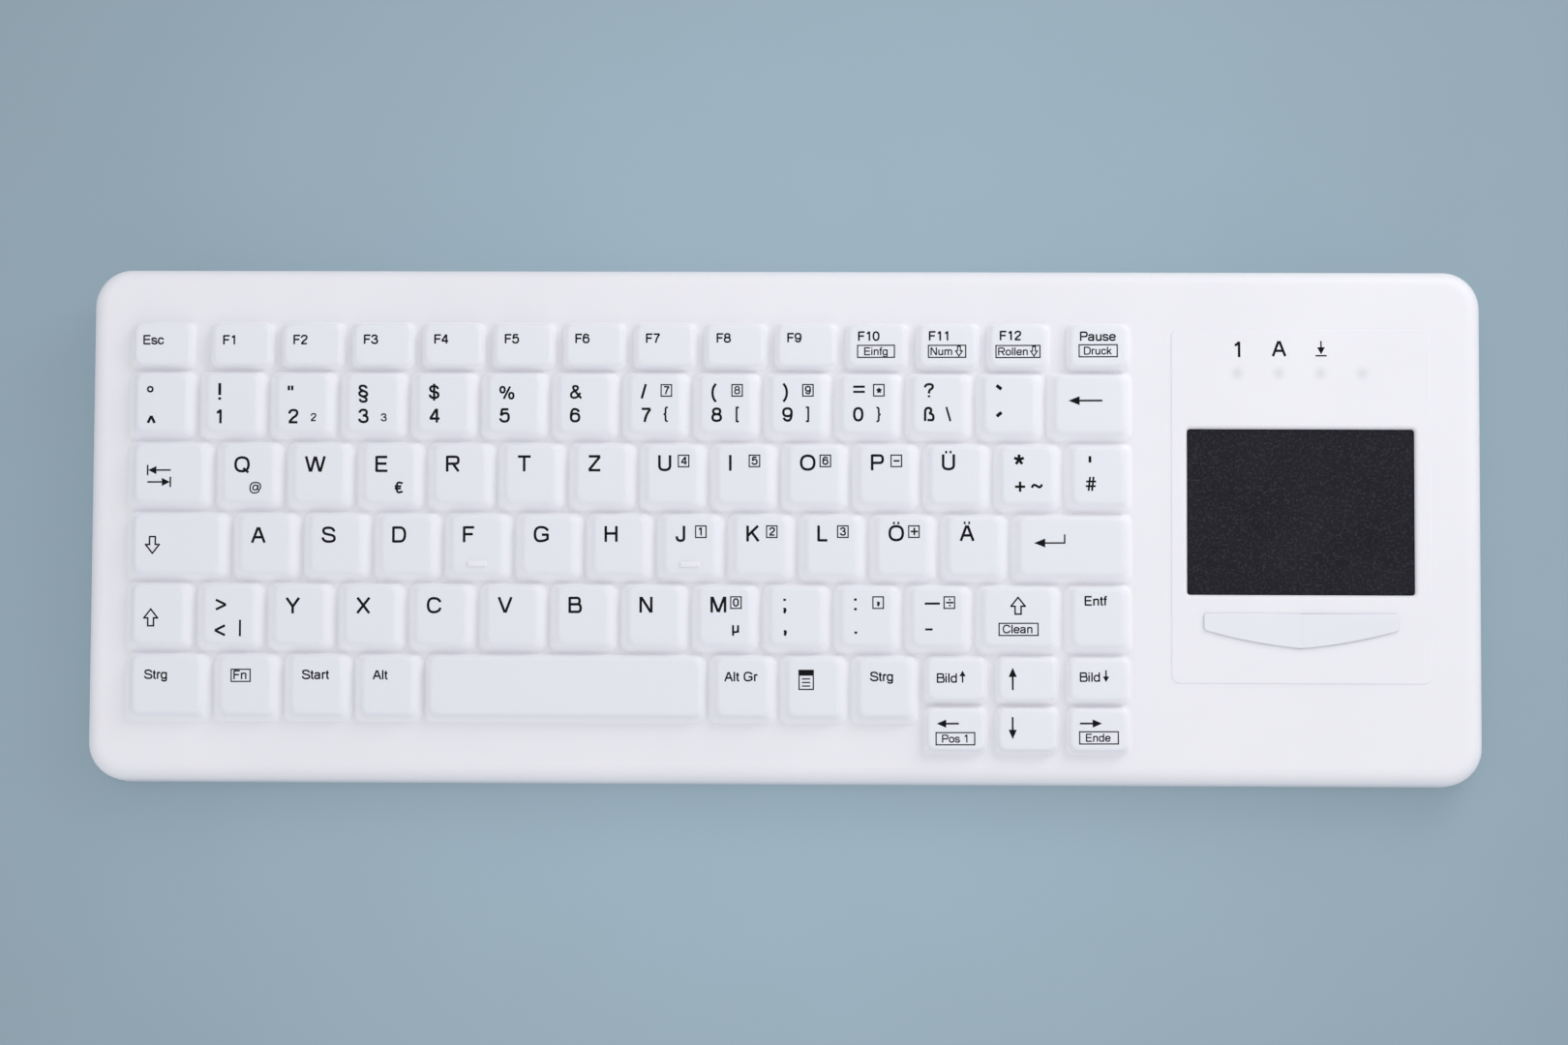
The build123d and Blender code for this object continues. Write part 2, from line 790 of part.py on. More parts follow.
def button_middle(side):
    x, y = at_field(pad_middle_x, button_top_down + (button_side + button_depth) / 4)
    return x + side * button_width / 4, y


def at_button_board(shape):
    return Pos(*at_field(pad_middle_x, button_top_down + (button_side + button_depth) / 4), 0) * shape


def make_button_board():
    top = button_board_top()
    under = top - board_thickness
    return at_button_board(clean_box(button_board_width, button_board_depth, under, top))


def make_button_domes():
    domes = []
    for side in (-1, 1):
        x, y = button_middle(side)
        outer = Cone(button_dome_base, button_stem_radius, button_dome_height, align=upright)
        inner = Cone(button_dome_base - rubber_wall, button_stem_radius - rubber_wall / 2,
                     button_dome_height - rubber_wall, align=upright)
        domes.append(Pos(x, y, button_board_top()) * (outer - inner))
    return Compound(domes)


def button_board_posts():
    """Posts under the button board's ends, in the case frame."""
    middle_x, middle_y = at_field(pad_middle_x, button_top_down + (button_side + button_depth) / 4)
    for side in (-1, 1):
        yield middle_x + side * (button_board_width - post_size) / 2, middle_y


# Controller board with what stands on it
def control_middle():
    return field_shift + pad_middle_x, control_rear - control_depth / 2


def make_control_board():
    board = clean_box(control_width, control_depth, control_under, control_top)
    return Pos(*control_middle(), 0) * board


def board_posts():
    middle_x, middle_y = control_middle()
    reach_x = (control_width - post_size) / 2
    reach_y = (control_depth - post_size) / 2
    for x in (middle_x - reach_x, middle_x + reach_x):
        for y in (middle_y - reach_y, middle_y + reach_y):
            yield x, y


def make_leds():
    leds = []
    for x, y in light_spots():
        leds.append(Pos(x, y, 0) * clean_box(led_size, led_size, control_top, control_top + led_height))
    return Compound(leds)


def make_light_guides():
    """Comb of clear rods that hangs under the top plate and carries light up to the skin."""
    spots = list(light_spots())
    bar_x = (spots[0][0] + spots[-1][0]) / 2
    bar_length = spots[-1][0] - spots[0][0] + light_bar
    bar = clean_box(bar_length, light_bar, plate_under - light_bar_thickness, plate_under)
    comb = Pos(bar_x, spots[0][1], 0) * bar
    low = control_top + led_height + led_gap
    for x, y in spots:
        comb = comb + Pos(x, y, 0) * rod(light_radius, low, plate_top)
    return comb


def key_socket_place():
    middle_x, middle_y = control_middle()
    return middle_x - control_width / 2 + socket_depth, middle_y - control_depth / 4


def pad_socket_place():
    middle_x, middle_y = control_middle()
    return middle_x + control_width / 4, middle_y - control_depth / 2 + socket_depth


def make_board_parts():
    """Controller chip, memory chip, and the sockets for the two flat cables."""
    middle_x, middle_y = control_middle()
    chip = Pos(middle_x, middle_y - chip_size / 2 - chip_gap, 0) * clean_box(
        chip_size, chip_size, control_top, control_top + chip_height)
    memory = Pos(middle_x - chip_size - small_chip_size, middle_y - chip_size, 0) * clean_box(
        small_chip_size, small_chip_size, control_top, control_top + chip_height)
    key_socket = Pos(*key_socket_place(), 0) * clean_box(
        socket_depth, socket_width, control_top, control_top + socket_height)
    pad_socket = Pos(*pad_socket_place(), 0) * clean_box(
        socket_width, socket_depth, control_top, control_top + socket_height)
    return Compound([chip, memory, key_socket, pad_socket])


def make_key_ribbon():
    """Flat cable from between the foils to its socket on the controller board."""
    socket_x, socket_y = key_socket_place()
    start_x = field_shift + field_width / 2 - stack_margin / 2
    level = control_top + socket_height / 2
    low = steel_top + foil_thickness
    middle = (start_x + socket_x - socket_depth / 2) / 2
    path = FilletPolyline(
        (start_x, low), (middle - ribbon_width / 4, low), (middle + ribbon_width / 4, level),
        (socket_x - socket_depth / 2, level), radius=ribbon_width / 8)
    section = trace(path, line_width=ribbon_thickness)
    strip = extrude(Plane.XZ * section, ribbon_width / 2, both=True)
    return Pos(0, socket_y, 0) * strip


def make_pad_ribbon():
    """Flat cable from the underside of the touchpad board to the controller board."""
    socket_x, socket_y = pad_socket_place()
    pad_y = field_rear - pad_middle_down
    level = control_top + socket_height / 2
    high = pad_board_under - ribbon_thickness / 2
    start = pad_y
    turn = pad_y + pad_depth / 2 - pad_ledge - ribbon_width / 2
    path = FilletPolyline(
        (start, high), (turn - ribbon_width / 2, high), (turn + ribbon_width / 2, level),
        (socket_y - socket_depth / 2, level), radius=ribbon_width / 8)
    section = trace(path, line_width=ribbon_thickness)
    strip = extrude(Plane.YZ * section, ribbon_width / 2, both=True)
    return Pos(socket_x, 0, 0) * strip


# Cable inlet
def make_gland():
    """Rubber gland in the rear wall: a collar outside, a barrel in the wall and a lip inside."""
    wall = skin_side + soft_gap + top_wall
    length = wall + gland_flange
    lip = rod(gland_flange_radius, wall, length)
    gland = rod(gland_radius, 0, length) + lip - rod(inlet_radius, -overrun, length + overrun)
    return Pos(inlet_x, case_depth / 2, inlet_height()) * Rot(90, 0, 0) * gland


# What is made, and where it is drawn
deck_pieces = {
    "key_guide_plate": make_guide_plate(),
    "space_stabilizer": make_stabilizer(),
    "rubber_dome_sheet": make_rubber_sheet(),
    "membrane_foils": make_foils(),
    "steel_backplate": make_steel_plate(),
    "touchpad_foil": pad_layer(pad_board_top, pad_top),
    "touchpad_board": pad_layer(pad_board_under, pad_board_top),
    "touchpad_button_left": make_button(-1),
    "touchpad_button_right": make_button(1),
    "button_board": make_button_board(),
    "button_domes": make_button_domes(),
    "controller_board": make_control_board(),
    "board_components": make_board_parts(),
    "status_leds": make_leds(),
    "light_guides": make_light_guides(),
    "key_ribbon": make_key_ribbon(),
    "touchpad_ribbon": make_pad_ribbon(),
}
case_pieces = {
    "silicone_cover": make_cover(),
    "top_case": make_top_case(),
    "bottom_case": make_bottom_case(),
    "case_seal": seal_ring(seal_radius),
    "case_screws": make_screws(),
    "rubber_feet": make_feet(),
    "cable_gland": make_gland(),
}

caps = make_per_size(make_cap)
banked = set()
for members in bank_members:
    bank = Compound([caps[name] for name in members])
    deck_pieces["keys_" + members[0] + "_to_" + members[-1]] = bank
    banked.update(members)
for name, cap in caps.items():
    if name not in banked:
        deck_pieces["key_" + name] = cap

os.makedirs("parts", exist_ok=True)
for name, piece in deck_pieces.items():
    export_step(deck * piece, "parts/" + name + ".step")
for name, piece in case_pieces.items():
    export_step(piece, "parts/" + name + ".step")
pivot = deck * Pos(*key_places["space"][0], 0) * Pos(0, *wire_bar()[1:])
print("stabiliser pivot", pivot.position, "turn", math.degrees(math.asin(key_travel / wire_arm)))
print(len(deck_pieces) + len(case_pieces), "nodes")
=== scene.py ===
import bpy
import bmesh
import math
from mathutils import Matrix, Vector


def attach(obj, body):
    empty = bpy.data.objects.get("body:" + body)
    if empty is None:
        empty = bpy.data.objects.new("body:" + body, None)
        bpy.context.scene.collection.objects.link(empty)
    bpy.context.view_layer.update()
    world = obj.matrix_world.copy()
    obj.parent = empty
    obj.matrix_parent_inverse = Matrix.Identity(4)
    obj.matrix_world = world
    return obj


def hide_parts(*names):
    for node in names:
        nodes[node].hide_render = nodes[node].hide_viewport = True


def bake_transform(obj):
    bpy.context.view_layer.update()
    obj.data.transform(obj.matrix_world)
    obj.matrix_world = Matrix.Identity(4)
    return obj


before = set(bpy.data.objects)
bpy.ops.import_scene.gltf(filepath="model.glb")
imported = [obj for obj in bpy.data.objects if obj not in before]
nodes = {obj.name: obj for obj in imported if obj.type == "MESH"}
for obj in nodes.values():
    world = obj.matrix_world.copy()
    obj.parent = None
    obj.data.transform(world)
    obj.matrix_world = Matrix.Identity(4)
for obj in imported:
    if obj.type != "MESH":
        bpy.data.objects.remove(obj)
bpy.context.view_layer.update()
mm = 0.001

# The deck rises to the rear. Its pieces are modelled flat, in mm, and then turned into place.
deck = {"tilt": 4.0, "height": 19.325}
deckPlace = (Matrix.Translation((0, 0, deck["height"] * mm))
             @ Matrix.Rotation(math.radians(deck["tilt"]), 4, "X") @ Matrix.Scale(mm, 4))


# helpers for meshes


def turned(bm, matrix):
    bmesh.ops.transform(bm, matrix=matrix, verts=bm.verts)


def placed(name, data):
    made = bpy.data.objects.new(name, data)
    bpy.context.scene.collection.objects.link(made)
    return made


def addTo(whole, bm):
    mesh = bpy.data.meshes.new("part")
    bm.to_mesh(mesh)
    whole.from_mesh(mesh)
    bpy.data.meshes.remove(mesh)
    bm.free()


def finishPiece(name, bm, material, place=deckPlace, smooth=None):
    # writes a bmesh in mm out as an object whose place is in its mesh
    if smooth is not None:
        for face in bm.faces:
            face.smooth = smooth
    for edge in bm.edges:
        if edge.is_boundary:
            edge.smooth = False
    turned(bm, place)
    mesh = bpy.data.meshes.new(name)
    bm.to_mesh(mesh)
    bm.free()
    mesh.materials.append(material)
    return placed(name, mesh)


def vertsIn(parts):
    return [part for part in parts if isinstance(part, bmesh.types.BMVert)]


def facesIn(parts):
    return [part for part in parts if isinstance(part, bmesh.types.BMFace)]


def edgesAmong(verts):
    # edges that have both ends among these points
    found = dict.fromkeys(edge for vert in verts for edge in vert.link_edges)
    return [edge for edge in found if all(vert in verts for vert in edge.verts)]


def fill(bm, edges):
    return bmesh.ops.triangle_fill(bm, edges=edges, use_beauty=True)["geom"]


def span(edge, axis):
    return abs(edge.verts[0].co[axis] - edge.verts[1].co[axis])


def rounded(bm, geom, offset, segments, affect="EDGES"):
    return bmesh.ops.bevel(bm, geom=geom, offset=offset, offset_type="OFFSET", segments=segments, profile=0.5,
                           affect=affect, material=-1)["verts"]


def flatCell(bm, width, depth, at=(0, 0, 0)):
    # one flat rectangle, in mm
    made = bmesh.ops.create_grid(bm, x_segments=1, y_segments=1, size=0.5)["verts"]
    bmesh.ops.scale(bm, vec=(width, depth, 1), verts=made)
    bmesh.ops.translate(bm, vec=at, verts=made)
    return made


def roundedFace(bm, width, depth, corner, segments, at=(0, 0, 0)):
    made = flatCell(bm, width, depth, at)
    return rounded(bm, list(made), corner, segments, "VERTICES")[0].link_faces[0]


def raiseFace(bm, face):
    # extrudes a face and gives back the new end
    grown = bmesh.ops.extrude_face_region(bm, geom=[face], use_keep_orig=False)["geom"]
    if face.is_valid:
        bmesh.ops.delete(bm, geom=[face], context="FACES_ONLY")
    return facesIn(grown)[0]


def faceUp(bm):
    # turns an open shell so that its highest face looks up
    bmesh.ops.recalc_face_normals(bm, faces=bm.faces)
    if max(bm.faces, key=lambda face: face.calc_center_median().z).normal.z < 0:
        bmesh.ops.reverse_faces(bm, faces=bm.faces)


def softCorner(start, corner, end, steps):
    # points of a bend from start to end that leaves a corner rounded
    points = []
    for step in range(steps + 1):
        t = step / steps
        points.append(tuple(a * (1 - t) ** 2 + 2 * b * t * (1 - t) + c * t * t
                            for a, b, c in zip(start, corner, end)))
    return points


def thicken(piece, thickness, even=True):
    wall = piece.modifiers.new("wall", "SOLIDIFY")
    wall.thickness = thickness * mm
    wall.offset = -1
    wall.use_even_offset = even


# materials; the depth of a surface's grain is in metres

grainDepth = {"fine": 0.00002, "coarse": 0.00003}


class Value:
    # a shader socket with the arithmetic that the materials use

    def __init__(self, kit, socket):
        self.kit = kit
        self.socket = socket

    def math(self, operation, *others):
        return self.kit.node("ShaderNodeMath", {"operation": operation}, dict(enumerate((self,) + others)))

    def __add__(self, other):
        return self.math("ADD", other)

    __radd__ = __add__

    def __mul__(self, other):
        return self.math("MULTIPLY", other)

    __rmul__ = __mul__

    def __sub__(self, other):
        return self.math("SUBTRACT", other)

    def __rsub__(self, other):
        return self.kit.node("ShaderNodeMath", {"operation": "SUBTRACT"}, {0: other, 1: self})

    def __pow__(self, other):
        return self.math("POWER", other)


class Finish:
    # a material with its main shader

    def __init__(self, name, **plain):
        self.material = bpy.data.materials.new(name)
        self.material.use_nodes = True
        self.tree = self.material.node_tree
        self.shader = self.tree.nodes["Principled BSDF"]
        for key, value in plain.items():
            self.shader.inputs[key.replace("_", " ")].default_value = value
        self.place = self.node("ShaderNodeTexCoord", out="Object")

    def node(self, kind, settings=None, values=None, out=0):
        made = self.tree.nodes.new(kind)
        for key, value in (settings or {}).items():
            setattr(made, key, value)
        for key, value in (values or {}).items():
            self.put(made.inputs[key], value)
        return Value(self, made.outputs[out])

    def put(self, socket, value):
        if isinstance(value, Value):
            self.tree.links.new(value.socket, socket)
        else:
            socket.default_value = value

    def to(self, key, value):
        self.put(self.shader.inputs[key], value)

    def noise(self, scale, detail=2.0, roughness=0.5, where=None):
        return self.node("ShaderNodeTexNoise", {}, {"Vector": where or self.place, "Scale": scale,
                                                    "Detail": detail, "Roughness": roughness})

    def spread(self, value, low, high, toLow=0.0, toHigh=1.0):
        return self.node("ShaderNodeMapRange", {}, {"Value": value, "From Min": low, "From Max": high,
                                                    "To Min": toLow, "To Max": toHigh})

    def blend(self, factor, first, second):
        return self.node("ShaderNodeMix", {"data_type": "RGBA"}, {0: factor, 6: first, 7: second}, out=2)

    def relief(self, height, strength, depth="fine"):
        self.to("Normal", self.node("ShaderNodeBump", {}, {"Height": height, "Strength": strength,
                                                           "Distance": grainDepth[depth]}))


def tint(colour, factor=1.0):
    return tuple(channel * factor for channel in colour) + (1.0,)


# skirt is a painted light for the keys' sides, and top a painted shade for the key tops
siliconeLook = {"colour": (0.895, 0.889, 0.935), "skirt": (0.92, 0.918, 0.957), "top": (0.842, 0.856, 0.912),
                "shade": 0.975, "mottle": 24.0, "mottleGloss": 0.35, "grain": 1900.0, "relief": 0.35,
                "smoothest": 0.37, "roughest": 0.49}


def makeSilicone(name, base, change=None):
    # satin moulded silicone with a fine matt skin and a very faint mottle
    look = siliconeLook
    kit = Finish(name, Specular_IOR_Level=0.4, Subsurface_Weight=0.08, Subsurface_Scale=0.0006,
                 Subsurface_Radius=(1.0, 0.9, 0.8))
    mottle = kit.spread(kit.noise(look["mottle"], 3.0), 0.3, 0.7)
    colour = kit.blend(mottle, tint(base, look["shade"]), tint(base))
    kit.to("Base Color", change(kit, colour) if change else colour)
    fine = kit.noise(look["grain"], 2.0, 0.6)
    kit.to("Roughness", kit.spread(fine + mottle * look["mottleGloss"], 0.2, 1.1, look["smoothest"],
                                   look["roughest"]))
    kit.relief(fine, look["relief"])
    return kit.material


lightSpots = {"pitch": 11.17, "count": 4, "first": 122.0, "rear": 41.2, "radius": 2.6, "softness": 1.3,
              "share": 0.5, "colour": (0.60, 0.62, 0.64)}


def drawLightSpots(kit, colour):
    # greyer blobs where the skin is thinned over the status lights
    along = kit.node("ShaderNodeSeparateXYZ", {}, {0: kit.place}, out="X")
    depth = Value(kit, along.socket.node.outputs["Y"])
    pitch = lightSpots["pitch"] * mm
    start = lightSpots["first"] * mm - pitch / 2
    near = (along - start).math("WRAP", pitch, 0.0) - pitch / 2
    down = depth - lightSpots["rear"] * math.cos(math.radians(deck["tilt"])) * mm
    away = (near * near + down * down) ** 0.5
    mask = kit.spread(away, 0.0, lightSpots["radius"] * mm, 1.0, 0.0) ** lightSpots["softness"]
    inside = along.math("GREATER_THAN", start) * along.math("LESS_THAN", start + pitch * lightSpots["count"])
    return kit.blend(mask * inside * lightSpots["share"], colour, tint(lightSpots["colour"]))


# where the painted light on the skirts and the painted shade on the tops begin and end, as shares of a dome's
# height
skirtLightAndTopShade = {"paintedLightFrom": 0.02, "paintedLightAt": 0.15, "paintedShadeFrom": 0.35, "paintedShadeAt": 1.0}


def paintSkirtLightAndTopShade(kit, colour):
    # painted light and shade: the skin is painted paler down a key's sides, against the shade in the valleys,
    # and painted greyer on the tops
    look = skirtLightAndTopShade
    share = kit.node("ShaderNodeAttribute", {"attribute_name": "rise"}, out="Fac")
    skirt = kit.blend(kit.spread(share, look["paintedLightFrom"], look["paintedLightAt"]), colour, tint(siliconeLook["skirt"]))
    return kit.blend(kit.spread(share, look["paintedShadeFrom"], look["paintedShadeAt"]), skirt, tint(siliconeLook["top"]))


inkLook = {"colour": (0.004, 0.004, 0.006), "worn": 2.2, "wear": 2600.0, "smoothest": 0.54, "roughest": 0.68}


def makeInk(name, look):
    # matt printing ink, a little worn in specks
    kit = Finish(name, Specular_IOR_Level=0.08)
    wear = kit.spread(kit.noise(look["wear"]), 0.35, 0.75)
    kit.to("Base Color", kit.blend(wear, tint(look["colour"]), tint(look["colour"], look["worn"])))
    kit.to("Roughness", kit.spread(wear, 0.0, 1.0, look["smoothest"], look["roughest"]))
    return kit.material


padLook = {"colour": (0.0075, 0.0075, 0.0125), "speck": (0.036, 0.036, 0.048), "grain": 1500.0,
           "mottle": 60.0, "mottleShare": 0.12, "smoothest": 0.45, "roughest": 0.65, "relief": 0.5}


def makePad(name, look):
    # dark touch foil with a fine sparkling grain
    kit = Finish(name, Specular_IOR_Level=0.16)
    grain = kit.noise(look["grain"], 2.5, 0.7)
    specks = kit.spread(grain, 0.5, 0.72)
    broad = kit.spread(kit.noise(look["mottle"]), 0.3, 0.7, 0.0, look["mottleShare"])
    kit.to("Base Color", kit.blend(specks + broad, tint(look["colour"]), tint(look["speck"])))
    kit.to("Roughness", kit.spread(grain, 0.3, 0.7, look["smoothest"], look["roughest"]))
    kit.relief(grain, look["relief"], "coarse")
    return kit.material


mouldedLook = {"mottle": 30.0, "swing": 0.06}


def makeMoulded(name, colour, roughness, grain, relief, speck):
    # moulded plastic or rubber with a fine grain and a faint broad mottle
    kit = Finish(name)
    fine = kit.noise(grain, 3.0, 0.6)
    both = fine * 0.5 + kit.noise(mouldedLook["mottle"], 3.0) * 0.5
    kit.to("Base Color", kit.blend(kit.spread(both, 0.38, 0.62), tint(colour, speck), tint(colour)))
    swing = mouldedLook["swing"]
    kit.to("Roughness", kit.spread(fine, 0.3, 0.7, roughness - swing, roughness + swing))
    kit.relief(fine, relief, "coarse")
    return kit.material


def makeSteel(name, colour, roughness):
    # zinc-plated steel with fine rolling lines and cloudy crystals
    kit = Finish(name, Metallic=1.0)
    stretched = kit.node("ShaderNodeMapping", {}, {"Vector": kit.place, "Scale": (30.0, 2200.0, 2200.0)})
    lines = kit.noise(1.0, 3.0, 0.6, where=stretched)
    clouds = kit.node("ShaderNodeTexVoronoi", {}, {"Vector": kit.place, "Scale": 160.0})
    tone = kit.spread(lines * 0.6 + clouds * 0.5, 0.25, 0.85)
    kit.to("Base Color", kit.blend(tone, tint(colour, 0.82), tint(colour, 1.05)))
    kit.to("Roughness", kit.spread(tone, 0.0, 1.0, roughness - 0.08, roughness + 0.1))
    kit.relief(lines, 0.2)
    return kit.material


def makeBoard(name, colour, line):
    # coated board or foil with paler tracks
    kit = Finish(name, Specular_IOR_Level=0.5, Coat_Weight=0.3)
    tracks = kit.node("ShaderNodeTexBrick", {"offset": 0.5},
                      {"Vector": kit.place, "Scale": 260.0, "Mortar Size": 0.06, "Brick Width": 0.9,
                       "Row Height": 0.35, "Color1": tint(colour), "Color2": tint(colour, 0.82),
                       "Mortar": tint(line)})
    fine = kit.noise(900.0, 3.0, 0.6)
    kit.to("Base Color", kit.blend(kit.spread(fine, 0.35, 0.75, 0.0, 0.35), tracks, tint(colour, 0.7)))
    kit.to("Roughness", kit.spread(fine, 0.3, 0.7, 0.3, 0.42))
    kit.relief(fine, 0.15)
    return kit.material


silicone = makeSilicone("whiteSilicone", siliconeLook["colour"])
deckSilicone = makeSilicone("deckSilicone", siliconeLook["colour"], drawLightSpots)
# painted light and shade: the domes' skin is painted paler down the sides and greyer on the tops
domeSilicone = makeSilicone("domeSilicone", siliconeLook["colour"], paintSkirtLightAndTopShade)
# painted shade: the touchpad buttons take the key tops' painted greyer tone
buttonSilicone = makeSilicone("buttonSilicone", siliconeLook["top"])
ink = makeInk("legendInk", inkLook)
padFoil = makePad("touchFoil", padLook)
casePlastic = makeMoulded("casePlastic", (0.78, 0.78, 0.81), 0.5, 1300.0, 0.4, 0.96)
steel = makeSteel("platedSteel", (0.62, 0.63, 0.65), 0.34)
board = makeBoard("circuitBoard", (0.035, 0.19, 0.085), (0.09, 0.33, 0.17))
nodeFinishes = {
    "bottom_case": casePlastic, "top_case": casePlastic,
    "key_guide_plate": makeMoulded("guidePlastic", (0.10, 0.105, 0.11), 0.5, 1200.0, 0.4, 0.8),
    "rubber_dome_sheet": makeMoulded("domeRubber", (0.62, 0.65, 0.67), 0.45, 900.0, 0.2, 0.93),
    "membrane_foils": makeBoard("circuitFoil", (0.52, 0.60, 0.55), (0.72, 0.74, 0.72)),
    "steel_backplate": steel, "case_screws": steel, "space_stabilizer": steel,
    "controller_board": board, "button_board": board, "touchpad_board": board,
    "board_components": makeMoulded("chipResin", (0.03, 0.03, 0.034), 0.55, 2500.0, 0.3, 0.7),
    "status_leds": makeMoulded("ledResin", (0.85, 0.87, 0.72), 0.25, 700.0, 0.05, 0.95),
    "light_guides": makeMoulded("clearAcrylic", (0.86, 0.89, 0.91), 0.12, 500.0, 0.03, 0.97),
    "touchpad_foil": padFoil,
    "key_ribbon": makeMoulded("ribbonFilm", (0.82, 0.83, 0.85), 0.35, 1100.0, 0.1, 0.9),
    "case_seal": makeMoulded("sealRubber", (0.60, 0.61, 0.63), 0.6, 1500.0, 0.3, 0.9),
    "rubber_feet": makeMoulded("footRubber", (0.055, 0.06, 0.065), 0.7, 1100.0, 0.6, 0.75),
}
nodeFinishes["button_domes"] = nodeFinishes["rubber_dome_sheet"]
nodeFinishes["touchpad_ribbon"] = nodeFinishes["key_ribbon"]
nodeFinishes["cable_gland"] = nodeFinishes["case_seal"]
capPlastic = makeMoulded("capPlastic", (0.72, 0.73, 0.75), 0.45, 1500.0, 0.2, 0.94)
for name, node in nodes.items():
    node.data.materials.clear()
    node.data.materials.append(nodeFinishes.get(name, capPlastic))
print("materials made")


# layout of the keys, in mm from the middle of the case

layout = {"pitch": 19.05, "short": 13.5, "middle": -41.675, "rear": 41.25, "columns": 14.25}
keyRows = (
    (-13.5, "esc gap f1 f2 f3 f4 f5 f6 f7 f8 f9 f10 f11 f12 gap pause"),
    (0.0, "caret 1 2 3 4 5 6 7 8 9 0 sharp_s accent backspace"),
    (19.05, "tab q w e r t z u i o p u_umlaut plus hash"),
    (38.1, "caps a s d f g h j k l o_umlaut a_umlaut enter"),
    (57.15, "left_shift angle y x c v b n m comma dot minus right_shift delete"),
    (76.2, "left_control fn start alt space alt_gr menu right_control"),
    (76.2, "wideGap page_up arrow_up page_down"),
    (89.7, "wideGap arrow_left arrow_down arrow_right"),
)
keyShares = {"backspace": 1.25, "tab": 1.25, "caps": 1.5, "enter": 1.75, "right_shift": 1.25,
             "left_control": 1.25, "space": 4, "gap": 0.125, "wideGap": 11.25}
banks = (
    "f1 f2 f3 f4", "f5 f6 f7 f8", "f9 f10 f11 f12", "caret 1 2 3 4", "5 6 7 8", "9 0 sharp_s accent",
    "q w e r", "t z u i", "o p u_umlaut plus hash", "a s d f g", "h j k l o_umlaut a_umlaut",
    "angle y x c v", "b n m comma dot minus",
)
keys = {}
for down, names in keyRows:
    left = layout["middle"] - layout["columns"] * layout["pitch"] / 2
    isShort = down < 0 or names.startswith("wideGap")
    cellDepth = layout["short"] if isShort else layout["pitch"]
    for name in names.split():
        width = keyShares.get(name, 1) * layout["pitch"]
        if not name.lower().endswith("gap"):
            keys[name] = {"x": left + width / 2, "y": layout["rear"] - down - cellDepth / 2, "width": width,
                          "depth": cellDepth, "isShort": isShort, "reach": (0.0, 0.0)}
        left += width
gapWidth = keyShares["gap"] * layout["pitch"]
keys["esc"]["reach"] = (0.0, gapWidth)
keys["pause"]["reach"] = (gapWidth, 0.0)
bodies = {}
for members in banks:
    members = members.split()
    bodies["keys_" + members[0] + "_to_" + members[-1]] = members
for name in keys:
    if not any(name in members for members in bodies.values()):
        bodies["key_" + name] = [name]


# domes over the keys

domeLook = {
    "full": {"valley": (0.6, 0.6), "sideRun": 2.5, "frontRun": 2.1, "rearRun": 1.1, "height": 3.8},
    "long": {"valley": (0.6, 0.6), "sideRun": 1.6, "frontRun": 2.1, "rearRun": 1.1, "height": 3.8},
    "short": {"valley": (1.7, 0.6), "sideRun": 1.25, "frontRun": 1.25, "rearRun": 0.9, "height": 3.4},
    "corner": 2.4, "cornerSegments": 5, "web": 0.2, "footRise": 0.2, "rimDrop": 0.2, "rim": 0.85,
    "flatRing": 0.3, "wall": 0.9, "seam": 0.002,
}


def domeForm(key):
    if key["isShort"]:
        return domeLook["short"]
    return domeLook["long" if key["width"] > 2 * layout["pitch"] else "full"]


def domeProfile():
    # share of the skirt's run, extra inset and share of the height, from the web to the flat top
    rise = domeLook["footRise"]
    drop = 1 - domeLook["rimDrop"]
    foot = softCorner((0, -domeLook["web"], 0), (0, 0, 0), (rise, 0, rise), 3)
    rim = softCorner((drop, 0, drop), (1, 0, 1), (1, domeLook["rim"], 1), 5)
    return foot + rim + [(1, domeLook["rim"] + domeLook["flatRing"], 1)]


def makeTile(key):
    # one tile of the skin: the flat web of a key's cell with its dome
    form = domeForm(key)
    footWidth = key["width"] - form["valley"][0]
    footDepth = key["depth"] - form["valley"][1]
    run = form["frontRun"] + form["rearRun"]
    bm = bmesh.new()
    face = None
    for share, inset, rise in domeProfile():
        width = footWidth - 2 * share * form["sideRun"] - 2 * inset
        depth = footDepth - share * run - 2 * inset
        shift = share * (form["frontRun"] - form["rearRun"]) / 2
        if face is None:
            face = roundedFace(bm, width, depth, domeLook["corner"], domeLook["cornerSegments"])
            loop = list(face.edges)
        else:
            face = raiseFace(bm, face)
        low, high = (Vector([pick(vert.co[axis] for vert in face.verts) for axis in (0, 1)])
                     for pick in (min, max))
        scale = (width / (high.x - low.x), depth / (high.y - low.y), 1)
        middle = ((low + high) / 2).to_3d()
        bmesh.ops.scale(bm, vec=scale, space=Matrix.Translation(-middle), verts=face.verts)
        bmesh.ops.translate(bm, vec=(-middle.x, shift - middle.y, rise * form["height"] - face.verts[0].co.z),
                            verts=face.verts)
    left, right = key["reach"]
    border = flatCell(bm, key["width"] + left + right, key["depth"], ((right - left) / 2, 0, 0))
    cell = border[0].link_faces[0]
    edges = list(cell.edges)
    bmesh.ops.delete(bm, geom=[cell], context="FACES_ONLY")
    fill(bm, edges + loop)
    faceUp(bm)
    bmesh.ops.translate(bm, vec=(key["x"], key["y"], 0), verts=bm.verts)
    return bm


